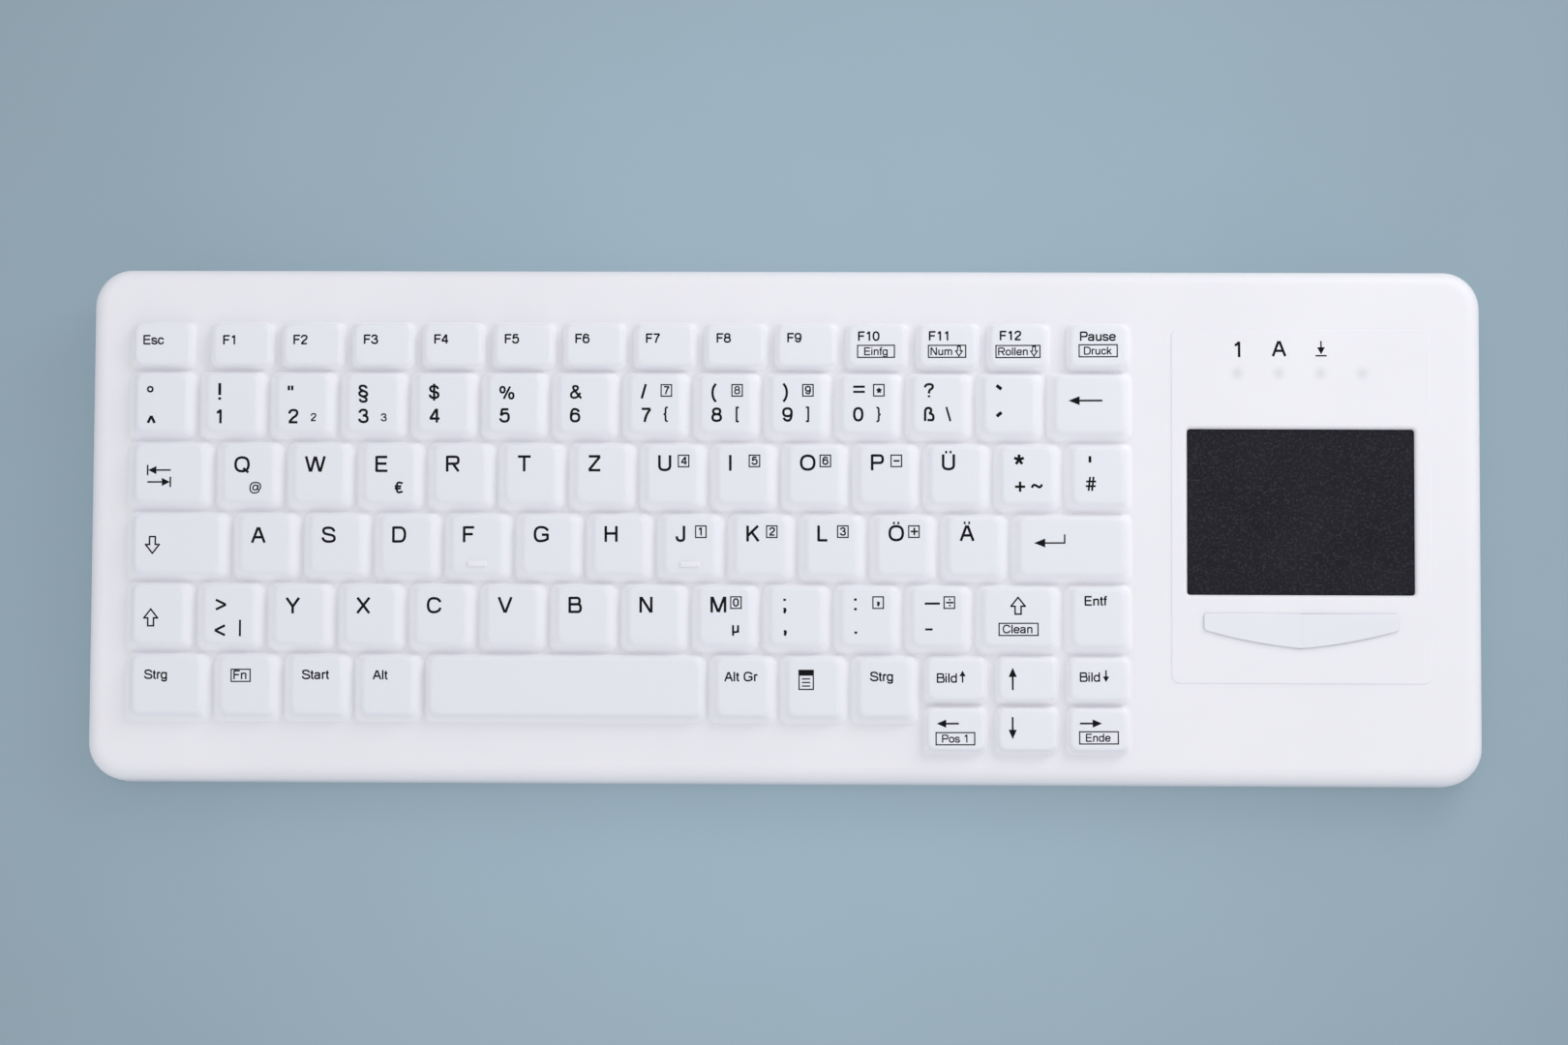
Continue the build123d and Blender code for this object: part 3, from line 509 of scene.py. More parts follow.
for body, members in bodies.items():
    whole = bmesh.new()
    for name in members:
        addTo(whole, makeTile(keys[name]))
    bmesh.ops.remove_doubles(whole, verts=whole.verts, dist=domeLook["seam"])
    # kept with each point, so that a pressed key keeps the painted skirt light and painted top shade it has at
    # rest
    rise = whole.verts.layers.float.new("rise")
    for vert in whole.verts:
        vert[rise] = vert.co.z / domeLook["full"]["height"]
    piece = finishPiece("skin_" + body, whole, domeSilicone, smooth=True)
    thicken(piece, domeLook["wall"])
    form = domeForm(keys[members[0]])
    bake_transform(piece)
print("domes made:", len(keys))


# the skin's border and deck

coverLook = {"width": 375.0, "depth": 138.0, "block": 40.0, "corner": 10.0, "cornerSegments": 12, "foot": 7.3,
             "round": 4.0, "roundSegments": 9, "ring": 0.6, "slack": 0.05, "wall": 1.0,
             "inlet": (122.0, 12.6, 3.7), "inletSides": 32}
panelLook = {"x": 139.0, "width": 69.5, "rear": 53.05, "front": -42.35, "corner": 2.0, "rise": 0.3,
             "edge": 0.28, "lip": 1.24, "padWidth": 61.0, "padDepth": 44.7, "padY": 3.8, "padCorner": 0.8,
             "skirt": -0.4, "foil": -0.99, "wall": 1.0, "under": 3.0}
halfField = layout["columns"] * layout["pitch"] / 2
fieldLeft, fieldRight = layout["middle"] - halfField, layout["middle"] + halfField
fieldRear = layout["rear"] + layout["short"]
rowsFront = layout["rear"] - 5 * layout["pitch"]
clusterFront = layout["rear"] - 4 * layout["pitch"] - 2 * layout["short"]
clusterLeft = fieldRight - 3 * layout["pitch"]


def cutInlet(bm):
    # round hole in the rear wall for the cable gland
    x, z, radius = coverLook["inlet"]
    rearWall = max((face for face in bm.faces if face.normal.y > 0.99), key=lambda face: face.calc_area())
    edges = list(rearWall.edges)
    bmesh.ops.delete(bm, geom=[rearWall], context="FACES_ONLY")
    place = Matrix.Translation((x, coverLook["depth"] / 2, z)) @ Matrix.Rotation(math.pi / 2, 4, "X")
    hole = bmesh.ops.create_circle(bm, segments=coverLook["inletSides"], radius=radius, matrix=place)["verts"]
    edges += edgesAmong(hole)
    for face in facesIn(fill(bm, edges)):
        if face.normal.y < 0:
            face.normal_flip()


def makeCover():
    # side walls, rounded edge and flat deck, with the key field and the panel left open
    look = coverLook
    bm = bmesh.new()
    made = bmesh.ops.create_cube(bm, size=1.0)["verts"]
    bmesh.ops.scale(bm, vec=(look["width"], look["depth"], look["block"]), verts=made)
    bmesh.ops.translate(bm, vec=(0, 0, look["foot"] + look["block"] / 2), verts=made)
    rounded(bm, [edge for edge in bm.edges if span(edge, 2) > 1], look["corner"],
            look["cornerSegments"])
    tilt = math.radians(deck["tilt"])
    normal = (0, -math.sin(tilt), math.cos(tilt))
    bmesh.ops.bisect_plane(bm, geom=bm.verts[:] + bm.edges[:] + bm.faces[:], plane_co=(0, 0, deck["height"]),
                           plane_no=normal, clear_outer=True)
    rim = [edge for edge in bm.edges if edge.is_boundary]
    bmesh.ops.contextual_create(bm, geom=rim)
    bmesh.ops.recalc_face_normals(bm, faces=bm.faces)
    bottom = [face for face in bm.faces if face.normal.z < -0.9]
    bmesh.ops.delete(bm, geom=bottom, context="FACES_ONLY")
    rounded(bm, rim, look["round"], look["roundSegments"])
    cutInlet(bm)
    for face in bm.faces:
        face.smooth = True
    turned(bm, Matrix.Rotation(-tilt, 4, "X") @ Matrix.Translation((0, 0, -deck["height"])))
    top = max(bm.faces, key=lambda face: face.calc_area())
    bmesh.ops.inset_region(bm, faces=[top], thickness=look["ring"], use_even_offset=True)
    # the deck, with the straight strips along its front and rear edge
    limit = look["width"] / 2 - look["round"] - look["ring"] + look["slack"]
    flat = [face for face in bm.faces if face.normal.z > 0.999
            and all(abs(v.co.x) < limit and abs(v.co.z) < 0.001 for v in face.verts)]
    geom = list(dict.fromkeys(part for face in flat for part in (face, *face.edges, *face.verts)))
    middle, under = panelLook["x"], panelLook["under"]
    half = panelLook["width"] / 2 - under
    front, rear = panelLook["front"] + under, panelLook["rear"] - under
    holes = ((fieldLeft, fieldRight, rowsFront, fieldRear), (clusterLeft, fieldRight, clusterFront, fieldRear),
             (middle - half, middle + half, front, rear))
    cuts = [((x, 0, 0), (1, 0, 0)) for x in (fieldLeft, fieldRight, clusterLeft, middle - half, middle + half)]
    cuts += [((0, y, 0), (0, 1, 0)) for y in (fieldRear, rowsFront, clusterFront, rear, front)]
    for spot, across in cuts:
        geom = bmesh.ops.bisect_plane(bm, geom=geom, plane_co=spot, plane_no=across)["geom"]
    gone = []
    for face in facesIn(geom):
        face.smooth = False
        x, y, _ = face.calc_center_median()
        if any(left < x < right and front < y < rear for left, right, front, rear in holes):
            gone.append(face)
    bmesh.ops.delete(bm, geom=gone, context="FACES")
    return bm


cover = finishPiece("skin_border", makeCover(), silicone)
thicken(cover, coverLook["wall"])
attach(cover, "housing")
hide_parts("silicone_cover")
print("border made")


# raised panel round the touchpad

buttonLook = {"x": 139.0, "width": 52.3, "rear": -23.55, "side": 4.5, "depth": 9.4, "split": 0.02, "rise": 0.8,
              "round": 0.35, "splitRound": 0.26, "corner": 0.8, "bulge": 0.65, "bulgeCuts": 9, "hollow": 1.2,
              "groove": 0.08, "grooveDepth": 0.2, "seat": 0.02}


def wedgeFace(bm, side, inset, level):
    # half of the buttons' wedge, left or right of the split
    look = buttonLook
    inner = look["x"] + side * (look["split"] / 2 + inset)
    outer = look["x"] + side * (look["width"] / 2 - inset)
    rear = look["rear"] - inset
    points = ((inner, rear), (outer, rear), (outer, look["rear"] - look["side"] + inset),
              (inner, look["rear"] - look["depth"] + inset))
    verts = [bm.verts.new((x, y, level)) for x, y in points]
    face = bm.faces.new(verts if side < 0 else verts[::-1])
    bow(bm, face.edges)
    return face


def bow(bm, edges):
    # lets the slanted front edges of the wedge bulge a little
    look = buttonLook
    slanted = [edge for edge in edges if span(edge, 0) > 1 and span(edge, 1) > 1]
    cut = bmesh.ops.subdivide_edges(bm, edges=slanted, cuts=look["bulgeCuts"])["geom_inner"]
    for vert in vertsIn(cut):
        share = abs(vert.co.x - look["x"]) / look["width"] * 2
        vert.co.y -= look["bulge"] * 4 * share * (1 - share)


def grooveFace(bm, level):
    # outline of the groove round both buttons
    look = buttonLook
    half, rear, grow = look["width"] / 2, look["rear"], look["groove"]
    points = [(side * a, rear + b) for side, a, b in (
        (-1, half + grow, grow), (1, half + grow, grow), (1, half + grow, -look["side"] - grow),
        (1, 0, -look["depth"] - grow), (-1, half + grow, -look["side"] - grow))]
    face = bm.faces.new([bm.verts.new((look["x"] + x, y, level)) for x, y in points])
    corners = [vert for vert in face.verts if abs(vert.co.x - look["x"]) > half]
    face = rounded(bm, corners, look["corner"] + grow, 4, "VERTICES")[0].link_faces[0]
    bow(bm, list(face.edges))
    return face


def makePanel():
    look = panelLook
    bm = bmesh.new()
    rise = look["rise"]
    middle = (look["rear"] + look["front"]) / 2
    outer = roundedFace(bm, look["width"], look["rear"] - look["front"], look["corner"], 6,
                        (look["x"], middle, rise))
    window = roundedFace(bm, look["padWidth"], look["padDepth"], look["padCorner"], 4,
                         (look["x"], look["padY"], rise))
    groove = grooveFace(bm, rise)
    grooveFloor = rise - buttonLook["grooveDepth"]
    hollows = [wedgeFace(bm, side, buttonLook["hollow"], grooveFloor) for side in (-1, 1)]
    outerEdges, windowEdges, grooveEdges = list(outer.edges), list(window.edges), list(groove.edges)
    hollowEdges = [edge for face in hollows for edge in face.edges]
    bmesh.ops.delete(bm, geom=[outer, window, groove] + hollows, context="FACES_ONLY")
    fill(bm, outerEdges + windowEdges + grooveEdges)
    for ring, level in ((outerEdges, look["skirt"]), (windowEdges, look["foil"]),
                        (grooveEdges, grooveFloor)):
        lowered = vertsIn(bmesh.ops.extrude_edge_only(bm, edges=ring)["geom"])
        bmesh.ops.translate(bm, vec=(0, 0, level - rise), verts=lowered)
    fill(bm, edgesAmong(lowered) + hollowEdges)
    bmesh.ops.recalc_face_normals(bm, faces=bm.faces)
    if max(bm.faces, key=lambda face: face.calc_area()).normal.z < 0:
        bmesh.ops.reverse_faces(bm, faces=bm.faces)
    for ring, offset in ((outerEdges, look["edge"]), (windowEdges, look["lip"])):
        rounded(bm, ring, offset, 7)
    for face in bm.faces:
        face.smooth = face.normal.z < 0.9999
    return bm


panel = finishPiece("skin_panel", makePanel(), deckSilicone)
thicken(panel, panelLook["wall"], even=False)
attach(panel, "housing")
print("panel made")


# touchpad buttons

def makeButton(side):
    look = buttonLook
    bm = bmesh.new()
    low = panelLook["rise"] - look["grooveDepth"] + look["seat"]
    face = wedgeFace(bm, side, 0.0, low)
    raised = vertsIn(bmesh.ops.extrude_face_region(bm, geom=[face], use_keep_orig=True)["geom"])
    height = panelLook["rise"] + look["rise"] - low
    bmesh.ops.translate(bm, vec=(0, 0, height), verts=raised)
    bmesh.ops.recalc_face_normals(bm, faces=bm.faces)
    reach = look["width"] / 2 - 0.1
    rounded(bm, [edge for edge in bm.edges if span(edge, 2) > height / 2
                 and abs(edge.verts[0].co.x - look["x"]) > reach], look["corner"], 4)
    for bySplit, offset in ((False, look["round"]), (True, look["splitRound"])):
        rim = [edge for edge in bm.edges if all(v.co.z > low + height - 0.001 for v in edge.verts)
               and all(abs(v.co.x - look["x"]) < look["split"] for v in edge.verts) == bySplit]
        rounded(bm, rim, offset, 4)
    for face in bm.faces:
        face.smooth = abs(face.normal.z) < 0.999
    return bm


for side, name in ((-1, "left"), (1, "right")):
    button = finishPiece("skin_button_" + name, makeButton(side), buttonSilicone)
    "touchpad_button_" + name
    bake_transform(button)
print("buttons made")


# rubber domes under the keys

sheetLook = {"top": -8.2, "thickness": 0.4, "margin": 0.8, "base": 4.6, "crown": 2.4, "height": 2.6,
             "sides": 24, "footIn": 0.3, "footUp": 0.25, "shoulderOut": 0.2, "shoulderDown": 0.05,
             "flatIn": 0.6, "steps": 5}


def makeSheet():
    # flat sheet in the outline of the key field, with a hole under each key
    bm = bmesh.new()
    margin, top = sheetLook["margin"], sheetLook["top"]
    left, right, rear = fieldLeft + margin, fieldRight - margin, fieldRear - margin
    step, front, low = clusterLeft + margin, rowsFront + margin, clusterFront + margin
    outline = ((left, rear), (right, rear), (right, low), (step, low), (step, front), (left, front))
    face = bm.faces.new([bm.verts.new((x, y, top)) for x, y in outline])
    bmesh.ops.delete(bm, geom=[face], context="FACES_ONLY")
    for key in keys.values():
        bmesh.ops.create_circle(bm, segments=sheetLook["sides"], radius=sheetLook["base"],
                                matrix=Matrix.Translation((key["x"], key["y"], top)))
    fill(bm, list(bm.edges))
    faceUp(bm)
    return bm


def makeRubberDome(x, y, look):
    # base, crown, height and top are the dome's own, the rest of its form is that of the sheet's domes
    form = {**sheetLook, **look}
    bm = bmesh.new()
    ring = bmesh.ops.create_circle(bm, segments=form["sides"], radius=form["base"],
                                   matrix=Matrix.Translation((x, y, form["top"])))["verts"]
    radius = form["base"]
    bend = softCorner((radius - form["footIn"], form["footUp"]),
                      (form["crown"] + form["shoulderOut"], form["height"] - form["shoulderDown"]),
                      (form["crown"] - form["flatIn"], form["height"]), form["steps"])
    for nextRadius, level in bend:
        ring = vertsIn(bmesh.ops.extrude_edge_only(bm, edges=edgesAmong(ring))["geom"])
        bmesh.ops.scale(bm, vec=(nextRadius / radius, nextRadius / radius, 1), verts=ring,
                        space=Matrix.Translation((-x, -y, 0)))
        bmesh.ops.translate(bm, vec=(0, 0, form["top"] + level - ring[0].co.z), verts=ring)
        radius = nextRadius
    bmesh.ops.contextual_create(bm, geom=edgesAmong(ring))
    faceUp(bm)
    return bm


sheet = finishPiece("dome_sheet", makeSheet(), nodeFinishes["rubber_dome_sheet"], smooth=False)
thicken(sheet, sheetLook["thickness"])
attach(sheet, "housing")
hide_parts("rubber_dome_sheet")
for body, members in bodies.items():
    whole = bmesh.new()
    for name in members:
        addTo(whole, makeRubberDome(keys[name]["x"], keys[name]["y"], sheetLook))
    piece = finishPiece("dome_" + body, whole, nodeFinishes["rubber_dome_sheet"], smooth=True)
    thicken(piece, sheetLook["thickness"])
    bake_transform(piece)
padDomeLook = {"x": 139.0, "apart": 26.15, "y": -27.07, "top": -8.1, "base": 3.4, "crown": 2.0, "height": 1.6}
for side, name in ((-1, "left"), (1, "right")):
    whole = makeRubberDome(padDomeLook["x"] + side * padDomeLook["apart"] / 2, padDomeLook["y"], padDomeLook)
    piece = finishPiece("button_dome_" + name, whole, nodeFinishes["button_domes"], smooth=True)
    thicken(piece, sheetLook["thickness"])
    "touchpad_button_" + name
    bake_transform(piece)
    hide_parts("button_domes")
print("rubber domes made")


# bars on the two home keys

homeBar = {"width": 5.4, "depth": 1.7, "rise": 0.6, "round": 0.57, "down": -4.75}
for name, body in (("f", "keys_a_to_g"), ("j", "keys_h_to_a_umlaut")):
    bm = bmesh.new()
    made = bmesh.ops.create_cube(bm, size=1.0)["verts"]
    bmesh.ops.scale(bm, vec=(homeBar["width"], homeBar["depth"], 2 * homeBar["rise"]), verts=made)
    rounded(bm, list(bm.edges), homeBar["round"], 5)
    place = deckPlace @ Matrix.Translation((keys[name]["x"], keys[name]["y"] + homeBar["down"],
                                            domeLook["full"]["height"]))
    bar = finishPiece("home_bar_" + name, bm, silicone, place, smooth=True)
    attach(bar, body)


# legends

# Plain upright lettering. Hundredths of a capital's height: first how far the sign advances, then
# its strokes: L is straight, B a bend whose points pull it, R a closed ring.
signs = {
    " ": "39", "A": "93 L 7 0 44 98 L 49 98 86 0 L 22 35 71 35",
    "B": "93 L 17 0 17 100 B 17 94 48 94 79 94 79 54 48 54 17 54 B 17 54 50 54 86 54 86 6 50 6 17 6",
    "C": "101 B 90 69 83 94 13 94 13 6 84 6 91 34", "D": "101 L 17 0 17 100 B 17 94 24 94 90 94 90 6 24 6 17 6",
    "E": "93 L 17 0 17 100 L 17 94 84 94 L 17 52 80 52 L 17 6 86 6",
    "F": "85 L 17 0 17 100 L 17 94 80 94 L 17 51 72 51",
    "G": "109 B 94 71 86 94 13 94 13 6 76 6 94 20 L 93 14 93 50 L 57 46 99 46",
    "H": "101 L 17 0 17 100 L 84 0 84 100 L 17 53 84 53", "I": "39 L 19 0 19 100",
    "J": "70 B 54 100 54 36 54 6 8 6 9 34", "K": "93 L 17 0 17 100 L 83 99 19 37 L 43 59 86 1",
    "L": "78 L 17 0 17 100 L 17 6 72 6", "M": "116 L 16 0 16 100 L 100 0 100 100 L 20 98 57 3 L 96 98 59 3",
    "N": "101 L 17 0 17 100 L 84 0 84 100 L 20 98 81 2", "O": "109 R 13 94 13 6 96 6 96 94",
    "P": "93 L 17 0 17 100 B 17 94 46 94 84 94 84 47 46 47 17 47",
    "Q": "109 R 13 94 13 6 96 6 96 94 L 62 26 95 -2",
    "R": "101 L 17 0 17 100 B 17 94 50 94 88 94 88 50 50 50 17 50 L 55 48 89 1",
    "S": "93 B 81 69 77 94 13 94 13 59 46 51 84 43 84 6 11 6 9 33", "T": "85 L 42 0 42 100 L 2 94 83 94",
    "U": "101 B 17 100 17 60 17 6 84 6 84 60 84 100", "V": "93 L 7 100 45 2 L 86 100 48 2",
    "W": "132 L 7 100 34 2 L 38 2 64 98 L 68 98 94 2 L 98 2 125 100", "X": "93 L 8 1 85 99 L 9 99 84 1",
    "Y": "93 L 7 99 47 43 L 86 99 46 43 L 46 0 46 47", "Z": "85 L 7 94 79 94 L 77 92 9 8 L 6 6 80 6",
    "a": "78 B 10 52 13 67 60 67 60 44 60 0 B 60 42 8 40 8 6 56 6 60 32",
    "c": "70 B 62 49 58 67 10 67 10 6 59 6 63 27", "d": "78 L 62 0 62 100 B 62 52 56 67 9 67 9 6 56 6 62 21",
    "e": "78 L 11 37 67 37 B 68 37 68 67 10 67 10 6 60 6 67 22",
    "f": "39 B 38 94 19 97 18 76 18 0 L 2 67 35 67",
    "g": "78 B 61 52 55 67 9 67 9 6 55 6 61 21 B 61 73 61 6 61 -21 15 -21 12 -6",
    "i": "31 L 15 0 15 72 L 15 86 15 100", "k": "70 L 15 0 15 100 L 60 71 17 29 L 33 45 62 1",
    "l": "31 L 15 0 15 100",
    "m": "116 L 15 0 15 72 B 15 44 18 67 57 67 57 42 57 0 B 57 44 60 67 99 67 99 42 99 0",
    "n": "78 L 15 0 15 72 B 15 44 18 67 62 67 62 42 62 0", "o": "78 R 10 67 10 6 68 6 68 67",
    "r": "47 L 15 0 15 72 B 15 42 17 68 32 68 45 65",
    "s": "70 B 57 51 54 67 10 67 10 42 35 37 61 31 61 6 10 6 8 25",
    "t": "39 B 17 92 17 32 17 4 36 6 L 2 67 34 67", "u": "78 L 62 0 62 72 B 15 72 15 34 15 6 58 6 62 29",
    "µ": "78 L 62 0 62 72 L 15 -28 15 72 B 15 72 15 34 15 6 58 6 62 29",
    "ß": "85 L 15 0 15 62 B 15 60 15 94 58 94 58 58 42 55 B 42 55 74 52 74 6 52 6 32 7",
    "0": "78 R 10 94 10 6 68 6 68 94", "1": "78 L 45 0 45 100 B 45 98 36 84 18 76",
    "2": "78 B 11 68 13 94 67 94 67 57 32 36 12 8 L 6 6 69 6",
    "3": "78 B 11 72 15 94 63 94 63 53 34 53 B 34 53 69 53 69 6 13 6 9 30",
    "4": "78 L 54 0 54 100 L 51 98 7 30 L 3 29 74 29",
    "5": "78 L 20 94 67 94 L 21 97 14 50 B 13 48 24 66 69 67 69 6 12 6 9 29",
    "6": "78 R 10 62 10 6 69 6 69 62 B 66 73 60 94 10 94 10 34", "7": "78 L 8 94 71 94 B 70 92 36 52 29 0",
    "8": "78 R 14 94 14 54 64 54 64 94 R 9 54 9 6 69 6 69 54",
    "9": "78 R 9 94 9 38 68 38 68 94 B 12 27 18 6 68 6 68 66", "!": "39 L 19 28 19 100 L 19 0 19 14",
    "\"": "50 L 13 66 13 100 L 37 66 37 100",
    "§": "78 B 62 77 60 97 14 97 14 72 38 61 67 48 67 24 44 21 "
         "B 15 2 17 -18 63 -18 63 7 40 18 11 31 11 54 34 58",
    "$": "78 B 66 71 63 92 11 92 11 58 39 51 69 44 69 8 9 8 8 32 L 39 -12 39 110",
    "%": "124 R 8 97 8 50 44 50 44 97 R 80 48 80 1 116 1 116 48 L 88 100 36 -1",
    "&": "93 B 88 1 26 70 24 96 62 96 62 66 9 46 9 5 62 5 80 44", "/": "39 L 5 -2 34 102",
    "\\": "39 L 5 102 34 -2", "(": "47 B 38 102 13 76 13 -2 38 -28", ")": "47 B 9 102 34 76 34 -2 9 -28",
    "[": "39 L 16 -28 16 102 L 16 96 36 96 L 16 -22 36 -22",
    "]": "39 L 23 -28 23 102 L 3 96 23 96 L 3 -22 23 -22",
    "{": "47 B 42 96 23 96 23 68 23 37 6 37 B 6 37 23 37 23 6 23 -22 42 -22",
    "}": "47 B 5 96 24 96 24 68 24 37 41 37 B 41 37 24 37 24 6 24 -22 5 -22",
    "=": "82 L 7 63 75 63 L 7 33 75 33", "?": "78 B 11 71 13 94 66 94 66 64 39 52 39 27 L 39 0 39 14",
    "°": "56 R 10 100 10 60 50 60 50 100", "^": "60 L 8 50 32 100 L 56 50 32 100",
    "@": "140 B 112 2 96 -22 8 -22 8 98 128 98 128 18 92 12 97 40 101 68 R 46 68 36 12 90 12 98 68",
    "€": "78 B 74 85 62 94 20 97 20 3 62 6 74 15 L 2 61 62 61 L 2 40 58 40",
    "~": "84 B 8 36 18 60 42 47 66 34 76 58", "#": "78 L 21 -1 33 101 L 46 -1 58 101 L 4 67 76 67 L 1 33 73 33",
    "'": "20 L 10 64 10 100", "+": "84 L 8 48 76 48 L 42 14 42 82",
    "*": "56 L 28 78 28 101 L 28 78 50 86 L 28 78 42 58 L 28 78 14 58 L 28 78 6 86",
    "<": "84 L 76 80 10 48 L 76 16 10 48", ">": "84 L 8 80 74 48 L 8 16 74 48", "|": "28 L 14 -28 14 102",
    ";": "28 L 14 58 14 72 L 14 0 14 14 B 17 8 18 -10 9 -19", ",": "28 L 14 0 14 14 B 17 8 18 -10 9 -19",
    ":": "28 L 14 58 14 72 L 14 0 14 14", ".": "28 L 14 0 14 14", "-": "84 L 8 46 76 46",
    "÷": "84 L 8 46 76 46 L 42 12 42 26 L 42 66 42 80", "`": "36 L 6 101 27 84", "´": "36 L 30 101 9 84",
}
dots = {"Ä": ("A", 46), "Ö": ("O", 54), "Ü": ("U", 50)}
legendLook = {"line": 0.162, "markLine": 0.42, "boxLine": 0.33, "boxHeight": 3.25, "boxFoot": 0.6,
              "letter": 4.25, "digit": 3.75, "word": 2.5, "small": 2.1, "thickness": 0.012, "float": 0.012,
              "drift": 0.006, "turn": 0.34}


class Pen:
    # strokes of ink in mm, gathered in one curve
    def __init__(self):
        self.curve = bpy.data.curves.new("legend", "CURVE")
        self.curve.dimensions = "3D"
        self.curve.bevel_depth = 1.0
        self.curve.bevel_resolution = 0
        self.curve.resolution_u = 5
        self.curve.use_fill_caps = True
        self.start = Vector((0, 0))
        self.turn = Matrix.Rotation(math.radians(legendLook["turn"]), 2)

    def stroke(self, points, width, kind="L", endWidth=None):
        spline = self.curve.splines.new("POLY" if kind == "L" else "NURBS")
        spline.points.add(len(points) - 1)
        for number, spot in enumerate(points):
            spot = self.start + self.turn @ Vector(spot)
            spline.points[number].co = (spot.x, spot.y, 0, 1)
            spline.points[number].radius = width / 2
        if endWidth is not None:
            spline.points[-1].radius = endWidth / 2
        if kind == "B":
            spline.order_u = 3
            spline.use_endpoint_u = True
        if kind == "R":
            spline.order_u = 3
            spline.use_cyclic_u = True

    def text(self, words, x, y, height, weight=1.0):
        # the lower left corner of the words' ink is at x, y
        unit = height / 100
        width = legendLook["line"] * height * weight
        along = None
        for letter in words:
            base, middle = dots.get(letter, (letter, None))
            advance, *tokens = signs[base].split()
            strokes = []
            for token in tokens:
                if token in "LBR":
                    strokes.append((token, []))
                else:
                    strokes[-1][1].append(float(token))
            if middle:
                strokes += [("L", [dot - 6, 114, dot + 6, 114]) for dot in (middle - 14, middle + 14)]
            if along is None:
                along = x - (min(min(values[::2]) for _, values in strokes) - 6) * unit
            for kind, values in strokes:
                self.stroke([(along + a * unit, y + b * unit) for a, b in zip(values[::2], values[1::2])],
                            width, kind)
            along += float(advance) * unit

    def line(self, x, y, endX, endY, width=legendLook["markLine"], share=0.0):
        # straight; with a share it runs on past both ends by that much of its width
        spot, end = Vector((x, y)), Vector((endX, endY))
        reach = (end - spot).normalized() * width * share
        self.stroke([spot - reach, end + reach], width)

    def frame(self, x, y, width, height):
        right, top = x + width, y + height
        for side in ((x, y, right, y), (x, top, right, top), (x, y, x, top), (right, y, right, top)):
            self.line(*side, legendLook["boxLine"], 0.5)

    def boxed(self, words, x, y, width, textX, size=legendLook["small"]):
        self.frame(x, y, width, legendLook["boxHeight"])
        self.text(words, textX, y + legendLook["boxFoot"], size, 1.02)

    def arrow(self, x, y, length, aim, head=2.3, wide=2.1, line=legendLook["markLine"]):
        # from its tail at x, y
        way = Vector((math.cos(math.radians(aim)), math.sin(math.radians(aim))))
        tail = Vector((x, y))
        neck = tail + way * (length - head)
        self.stroke([tail, neck + way * head * 0.3], line)
        self.stroke([neck, neck + way * head], wide, endWidth=0.02)

    def hollow(self, x, y, width, height, line=legendLook["markLine"], down=False):
        # outlined shift arrow
        half = width / 2
        neck = height * 0.47
        side = [(0, height), (half, neck), (half * 0.42, neck), (half * 0.42, 0), (0, 0)]
        for mirror in (-1, 1):
            spots = [(x + half + mirror * a, y + (height - b if down else b)) for a, b in side]
            for spot, end in zip(spots, spots[1:]):
                self.line(*spot, *end, line, 0.4)

    def piece(self, name, level, body):
        carrier = placed("legend", self.curve)
        bpy.context.view_layer.update()
        mesh = bpy.data.meshes.new_from_object(carrier.evaluated_get(bpy.context.evaluated_depsgraph_get()))
        thick = max(vertex.co.z for vertex in mesh.vertices)
        bm = bmesh.new()
        bm.from_mesh(mesh)
        bpy.data.objects.remove(carrier)
        bpy.data.curves.remove(self.curve)
        bpy.data.meshes.remove(mesh)
        turned(bm, Matrix.Translation((0, 0, level + legendLook["float"]))
               @ Matrix.Diagonal((1, 1, legendLook["thickness"] / thick, 1)))
        bmesh.ops.recalc_face_normals(bm, faces=bm.faces)
        made = finishPiece(name, bm, ink, smooth=False)
        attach(made, body)


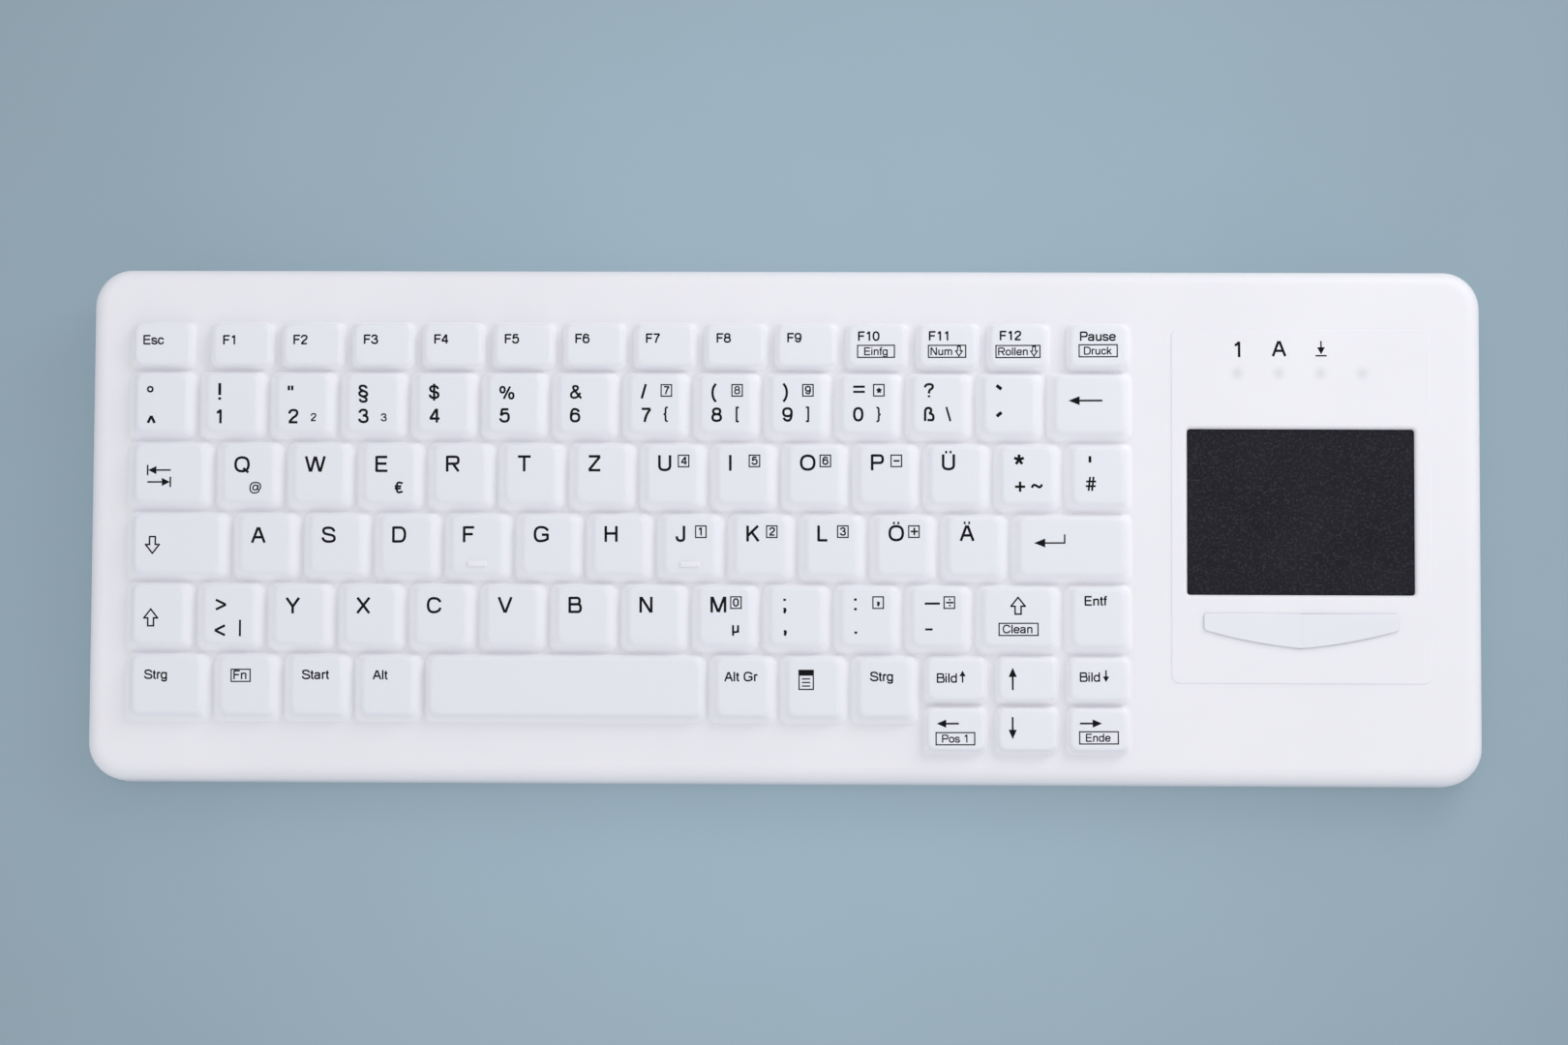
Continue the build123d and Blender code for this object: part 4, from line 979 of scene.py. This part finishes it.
# what is drawn on a key beside its letters, as a kind of stroke and its measures
marks = {
    "tab": ((Pen.line, -5.85, -0.2, -5.85, 2.6), (Pen.arrow, 0.4, 1.2, 6.1, 180, 2.2, 2.2),
            (Pen.line, 0.3, -3.4, 0.3, -0.6), (Pen.arrow, -5.9, -2.0, 6.1, 0, 2.2, 2.2)),
    "enter": ((Pen.line, -1.95, 1.2, -1.95, 3.7), (Pen.arrow, -1.75, 1.4, 8.4, 180, 3.0, 2.4)),
    "menu": ((Pen.frame, -3.85, 0.0, 3.8, 5.1), (Pen.line, -3.8, 4.3, -0.1, 4.3, 1.3),
             (Pen.line, -3.1, 0.9, -0.9, 0.9, 0.34), (Pen.line, -3.1, 1.85, -0.9, 1.85, 0.34),
             (Pen.line, -3.1, 2.8, -0.9, 2.8, 0.34)),
    "right_shift": ((Pen.hollow, -2.0, 1.3, 3.8, 4.5), (Pen.boxed, "Clean", -5.2, -4.4, 10.4, -4.2, 2.25)),
    "arrow_left": ((Pen.arrow, 0.8, 1.75, 5.9, 180, 2.5, 2.2, 0.48),
                   (Pen.boxed, "Pos 1", -5.3, -3.9, 10.3, -3.7)),
    "arrow_right": ((Pen.arrow, -5.0, 1.95, 5.9, 0, 2.5, 2.2, 0.48),
                    (Pen.boxed, "Ende", -5.1, -3.5, 10.3, -3.4)),
    "page_up": ((Pen.text, "Bild", -5.1, -0.8, 2.5), (Pen.arrow, 1.75, -0.8, 3.2, 90, 1.5, 1.7, 0.4)),
    "page_down": ((Pen.text, "Bild", -5.0, -0.4, 2.5), (Pen.arrow, 1.95, 2.7, 3.2, -90, 1.5, 1.7, 0.4)),
    "backspace": ((Pen.arrow, 3.4, 1.6, 9.1, 180, 3.0, 2.4, 0.5),),
    "caps": ((Pen.hollow, -8.5, -2.2, 3.7, 4.5, 0.42, True),),
    "left_shift": ((Pen.hollow, -3.9, -2.7, 3.7, 4.5),),
    "arrow_up": ((Pen.arrow, -3.9, -2.7, 6.0, 90, 2.5, 2.2, 0.48),),
    "arrow_down": ((Pen.arrow, -3.9, 3.6, 5.9, -90, 2.5, 2.2, 0.48),),
    "f10": ((Pen.boxed, "Einfg", -5.2, -3.1, 9.9, -3.4),),
    "f11": ((Pen.boxed, "Num", -5.2, -3.05, 10.0, -4.6), (Pen.hollow, 2.1, -2.7, 1.8, 2.6, 0.32, True)),
    "f12": ((Pen.boxed, "Rollen", -6.1, -3.05, 11.8, -5.5), (Pen.hollow, 3.2, -2.7, 1.8, 2.6, 0.32, True)),
    "pause": ((Pen.boxed, "Druck", -5.2, -2.8, 10.2, -3.9),),
    "fn": ((Pen.boxed, "Fn", -3.9, 1.5, 5.1, -3.25, 2.4),),
}
words = {
    "esc": ("Esc", -5.2, 0.0), "pause": ("Pause", -4.9, 1.5), "delete": ("Entf", -3.7, 3.7),
    "left_control": ("Strg", -5.9, 2.1), "start": ("Start", -3.9, 2.2), "alt": ("Alt", -3.9, 2.2),
    "alt_gr": ("Alt Gr", -4.8, 2.1), "right_control": ("Strg", -3.9, 2.3),
}
# sign, left, bottom, height, weight: these stand where they are whatever the row's drift
extras = {
    "caret": (("°", -3.95, 1.4, 3.3, 0.9), ("^", -3.9, -7.0, 3.8, 1.15)),
    "2": (("2", 2.2, -4.5, 2.1, 1.1),), "3": (("3", 2.2, -4.5, 2.1, 1.1),),
    "7": (("{", 2.0, -3.6, 3.2, 0.95),), "8": (("[", 2.6, -3.6, 3.2, 0.95),),
    "9": (("]", 2.2, -3.5, 3.2, 0.95),),
    "0": (("}", 2.1, -3.5, 3.2, 0.95), ("=", -4.2, 2.3, 4.6, 0.8)),
    "sharp_s": (("\\", 1.8, -4.0, 3.7, 0.9),),
    "accent": (("`", -3.9, -0.6, 6.2, 0.9), ("´", -3.9, -7.9, 6.2, 0.9)),
    "q": (("@", 0.3, -4.4, 2.35, 0.95),), "e": (("€", 1.2, -4.8, 2.95, 1.15),),
    "m": (("µ", 2.0, -4.0, 2.85, 1.15),),
    "plus": (("*", -3.9, 0.1, 5.9, 0.78), ("+", -3.6, -4.5, 4.0, 1.0), ("~", 0.9, -4.3, 4.0, 1.0)),
    "hash": (("'", -2.6, 0.9, 4.8, 0.95), ("#", -3.7, -3.6, 3.7, 0.85)),
    "angle": ((">", -3.8, 1.1, 4.1, 0.95), ("<", -4.0, -5.8, 4.1, 0.95), ("|", 2.8, -4.5, 3.4, 1.0)),
    "comma": ((";", -3.5, 2.2, 4.2, 1.05), (",", -3.4, -3.8, 4.2, 1.05)),
    "dot": ((":", -3.4, 2.2, 4.4, 1.0), (".", -3.3, -4.1, 4.4, 1.0)),
    "minus": (("-", -4.0, 1.3, 6.0, 0.6), ("-", -3.7, -4.2, 2.9, 1.2)),
}
letters = dict({name: name.upper() for name in "qwertzuiopasdfghjklyxcvbnm"},
               u_umlaut="Ü", o_umlaut="Ö", a_umlaut="Ä")
shifted = {"1": "!", "2": "\"", "3": "§", "4": "$", "5": "%", "6": "&", "7": "/", "8": "(", "9": ")", "0": "",
           "sharp_s": "?"}
padSigns = {"7": "7", "8": "8", "9": "9", "0": "*", "u": "4", "i": "5", "o": "6", "p": "-", "j": "1", "k": "2",
            "l": "3", "o_umlaut": "+", "m": "0", "dot": ",", "minus": "÷"}
# the frame round a pad sign, and the height, left and bottom of the signs in it
padFrame = {"left": 1.55, "low": 2.45, "drift": 0.6, "width": 2.8, "height": 3.1}
padPlaces = {"plain": (2.15, 0.64, 0.53), "1": (2.15, 0.75, 0.53), "*": (3.0, 0.62, -0.85),
             ",": (3.4, 1.05, 1.35), "-": (2.4, 0.5, 0.45), "+": (2.9, 0.36, 0.2), "÷": (2.9, 0.36, 0.22)}


def drawLegend(pen, name, drift):
    # the printed signs of one key, in mm from the middle of its cell
    look = legendLook
    if name in letters:
        pen.text(letters[name], -3.8, 1.3 + drift, look["letter"])
    if name in shifted:
        size = {"%": 3.3, "&": 3.5, "!": 4.5}.get(shifted[name], look["digit"])
        upperLeft, lowerLeft = (-3.6, -4.3) if name == "1" else (-3.9, -3.9)
        pen.text(shifted[name], upperLeft, 1.9 + drift, size, 1.05)
        pen.text("ß" if name == "sharp_s" else name, lowerLeft, -4.5 + drift, look["digit"], 1.08)
    if name in padSigns:
        sign = padSigns[name]
        left, low = padFrame["left"], padFrame["low"] + drift * padFrame["drift"]
        pen.frame(left, low, padFrame["width"], padFrame["height"])
        size, across, up = padPlaces.get(sign, padPlaces["plain"])
        pen.text(sign, left + across, low + up, size, 1.0 if sign in "8+÷*" else 1.2)
    if name[0] == "f" and name[1:].isdigit():
        pen.text("F" + name[1:], -5.0, (1.0 if int(name[1:]) > 9 else 0.65) + drift, look["word"], 1.15)
    if name in words:
        pen.text(*words[name], look["word"], 1.08)
    for sign, x, y, height, weight in extras.get(name, ()):
        pen.text(sign, x, y, height, weight)
    for mark, *measures in marks.get(name, ()):
        mark(pen, *measures)


for body, members in bodies.items():
    pen = Pen()
    for name in members:
        pen.start = Vector((keys[name]["x"], keys[name]["y"]))
        drawLegend(pen, name, legendLook["drift"] * (keys[name]["x"] - layout["middle"]))
    if pen.curve.splines:
        pen.piece("legend_" + body, domeForm(keys[members[0]])["height"], body)

pen = Pen()
pen.text("1", 121.4, 44.8, 4.2, 0.98)
pen.text("A", 131.6, 45.0, 4.2, 0.98)
pen.line(143.3, 45.1, 146.3, 45.1, 0.4)
pen.arrow(144.8, 49.1, 3.6, -90, 1.9, 2.1, 0.4)
pen.piece("legend_lights", panelLook["rise"], "housing")
print("legends made")


# floor, lights and camera; a lamp has its place, size, power and colour

# fall and its range give a painted shade that darkens the floor towards its edges
stageLook = {"floor": (0.381, 0.503, 0.586), "size": 6.0, "grain": 30.0, "grainShade": 0.985, "fall": 0.3,
             "fallFrom": 0.07, "fallTo": 0.3, "paintedEdgeShade": 0.1, "glow": 0.45, "glowStrength": 0.96,
             "sky": (0.97, 0.975, 1.0), "skyStrength": 0.73}


def makeFloor(look):
    kit = Finish("floorPaper", Roughness=0.9, Specular_IOR_Level=0.1)
    paper = kit.blend(kit.spread(kit.noise(look["grain"]), 0.3, 0.7), tint(look["floor"], look["grainShade"]),
                      tint(look["floor"]))
    away = kit.node("ShaderNodeVectorMath", {"operation": "LENGTH"}, {0: kit.place}, out="Value")
    # painted shade: the floor is darkened away from the middle, in place of the light falling off towards the
    # edges
    paper = kit.blend(kit.spread(away, look["fallFrom"], look["fallTo"], 0.0, look["fall"]), paper,
                      tint(look["floor"], look["paintedEdgeShade"]))
    kit.to("Base Color", paper)
    # the camera sees part of the floor's tone unshaded, which keeps the shadow as faint as in the studio
    seen = kit.node("ShaderNodeLightPath", out="Is Camera Ray") + kit.node("ShaderNodeLightPath",
                                                                           out="Is Glossy Ray")
    glow = kit.node("ShaderNodeEmission", {}, {"Color": paper, "Strength": look["glowStrength"]})
    mixed = kit.node("ShaderNodeMixShader", {}, {
        0: seen * look["glow"], 1: Value(kit, kit.shader.outputs[0]), 2: glow})
    kit.put(kit.tree.nodes["Material Output"].inputs["Surface"], mixed)
    return kit.material


bm = bmesh.new()
bmesh.ops.create_grid(bm, x_segments=1, y_segments=1, size=stageLook["size"] / 2)
floor = finishPiece("floor", bm, makeFloor(stageLook), Matrix.Identity(4))

lamps = (
    ("keyLamp", (0.4, 0.42, 0.44), 0.4, 1.35, (1.0, 0.99, 0.98)),
    ("rightLamp", (1.2, 0.1, 0.6), 0.8, 1.1, (1.0, 0.99, 0.98)),
    ("leftLamp", (-1.2, -0.2, 0.6), 0.8, 0.8, (1.0, 0.99, 0.99)),
    ("frontLamp", (0.1, -1.3, 0.7), 1.1, 2.2, (1.0, 0.99, 0.99)),
)
for name, spot, size, power, colour in lamps:
    light = bpy.data.lights.new(name, "AREA")
    light.shape = "SQUARE"
    light.size = size
    light.energy = power
    light.color = colour
    lamp = placed(name, light)
    lamp.location = spot
    lamp.rotation_euler = (-Vector(spot)).to_track_quat("-Z", "Y").to_euler()
world = bpy.data.worlds.new("studio")
bpy.context.scene.world = world
world.use_nodes = True
world.node_tree.nodes["Background"].inputs[0].default_value = tint(stageLook["sky"])
world.node_tree.nodes["Background"].inputs[1].default_value = stageLook["skyStrength"]

view = {"spot": (0.02292, -0.14091, 1.05198), "turn": (7.804, 1.2144, 0.358), "lens": 88.889, "sensor": 36.0}
cameraData = bpy.data.cameras.new("camera")
cameraData.lens = view["lens"]
cameraData.sensor_width = view["sensor"]
camera = placed("camera", cameraData)
camera.location = view["spot"]
camera.rotation_euler = [math.radians(angle) for angle in view["turn"]]
bpy.context.scene.camera = camera
bpy.context.scene.view_settings.view_transform = "Standard"
print("stage set")
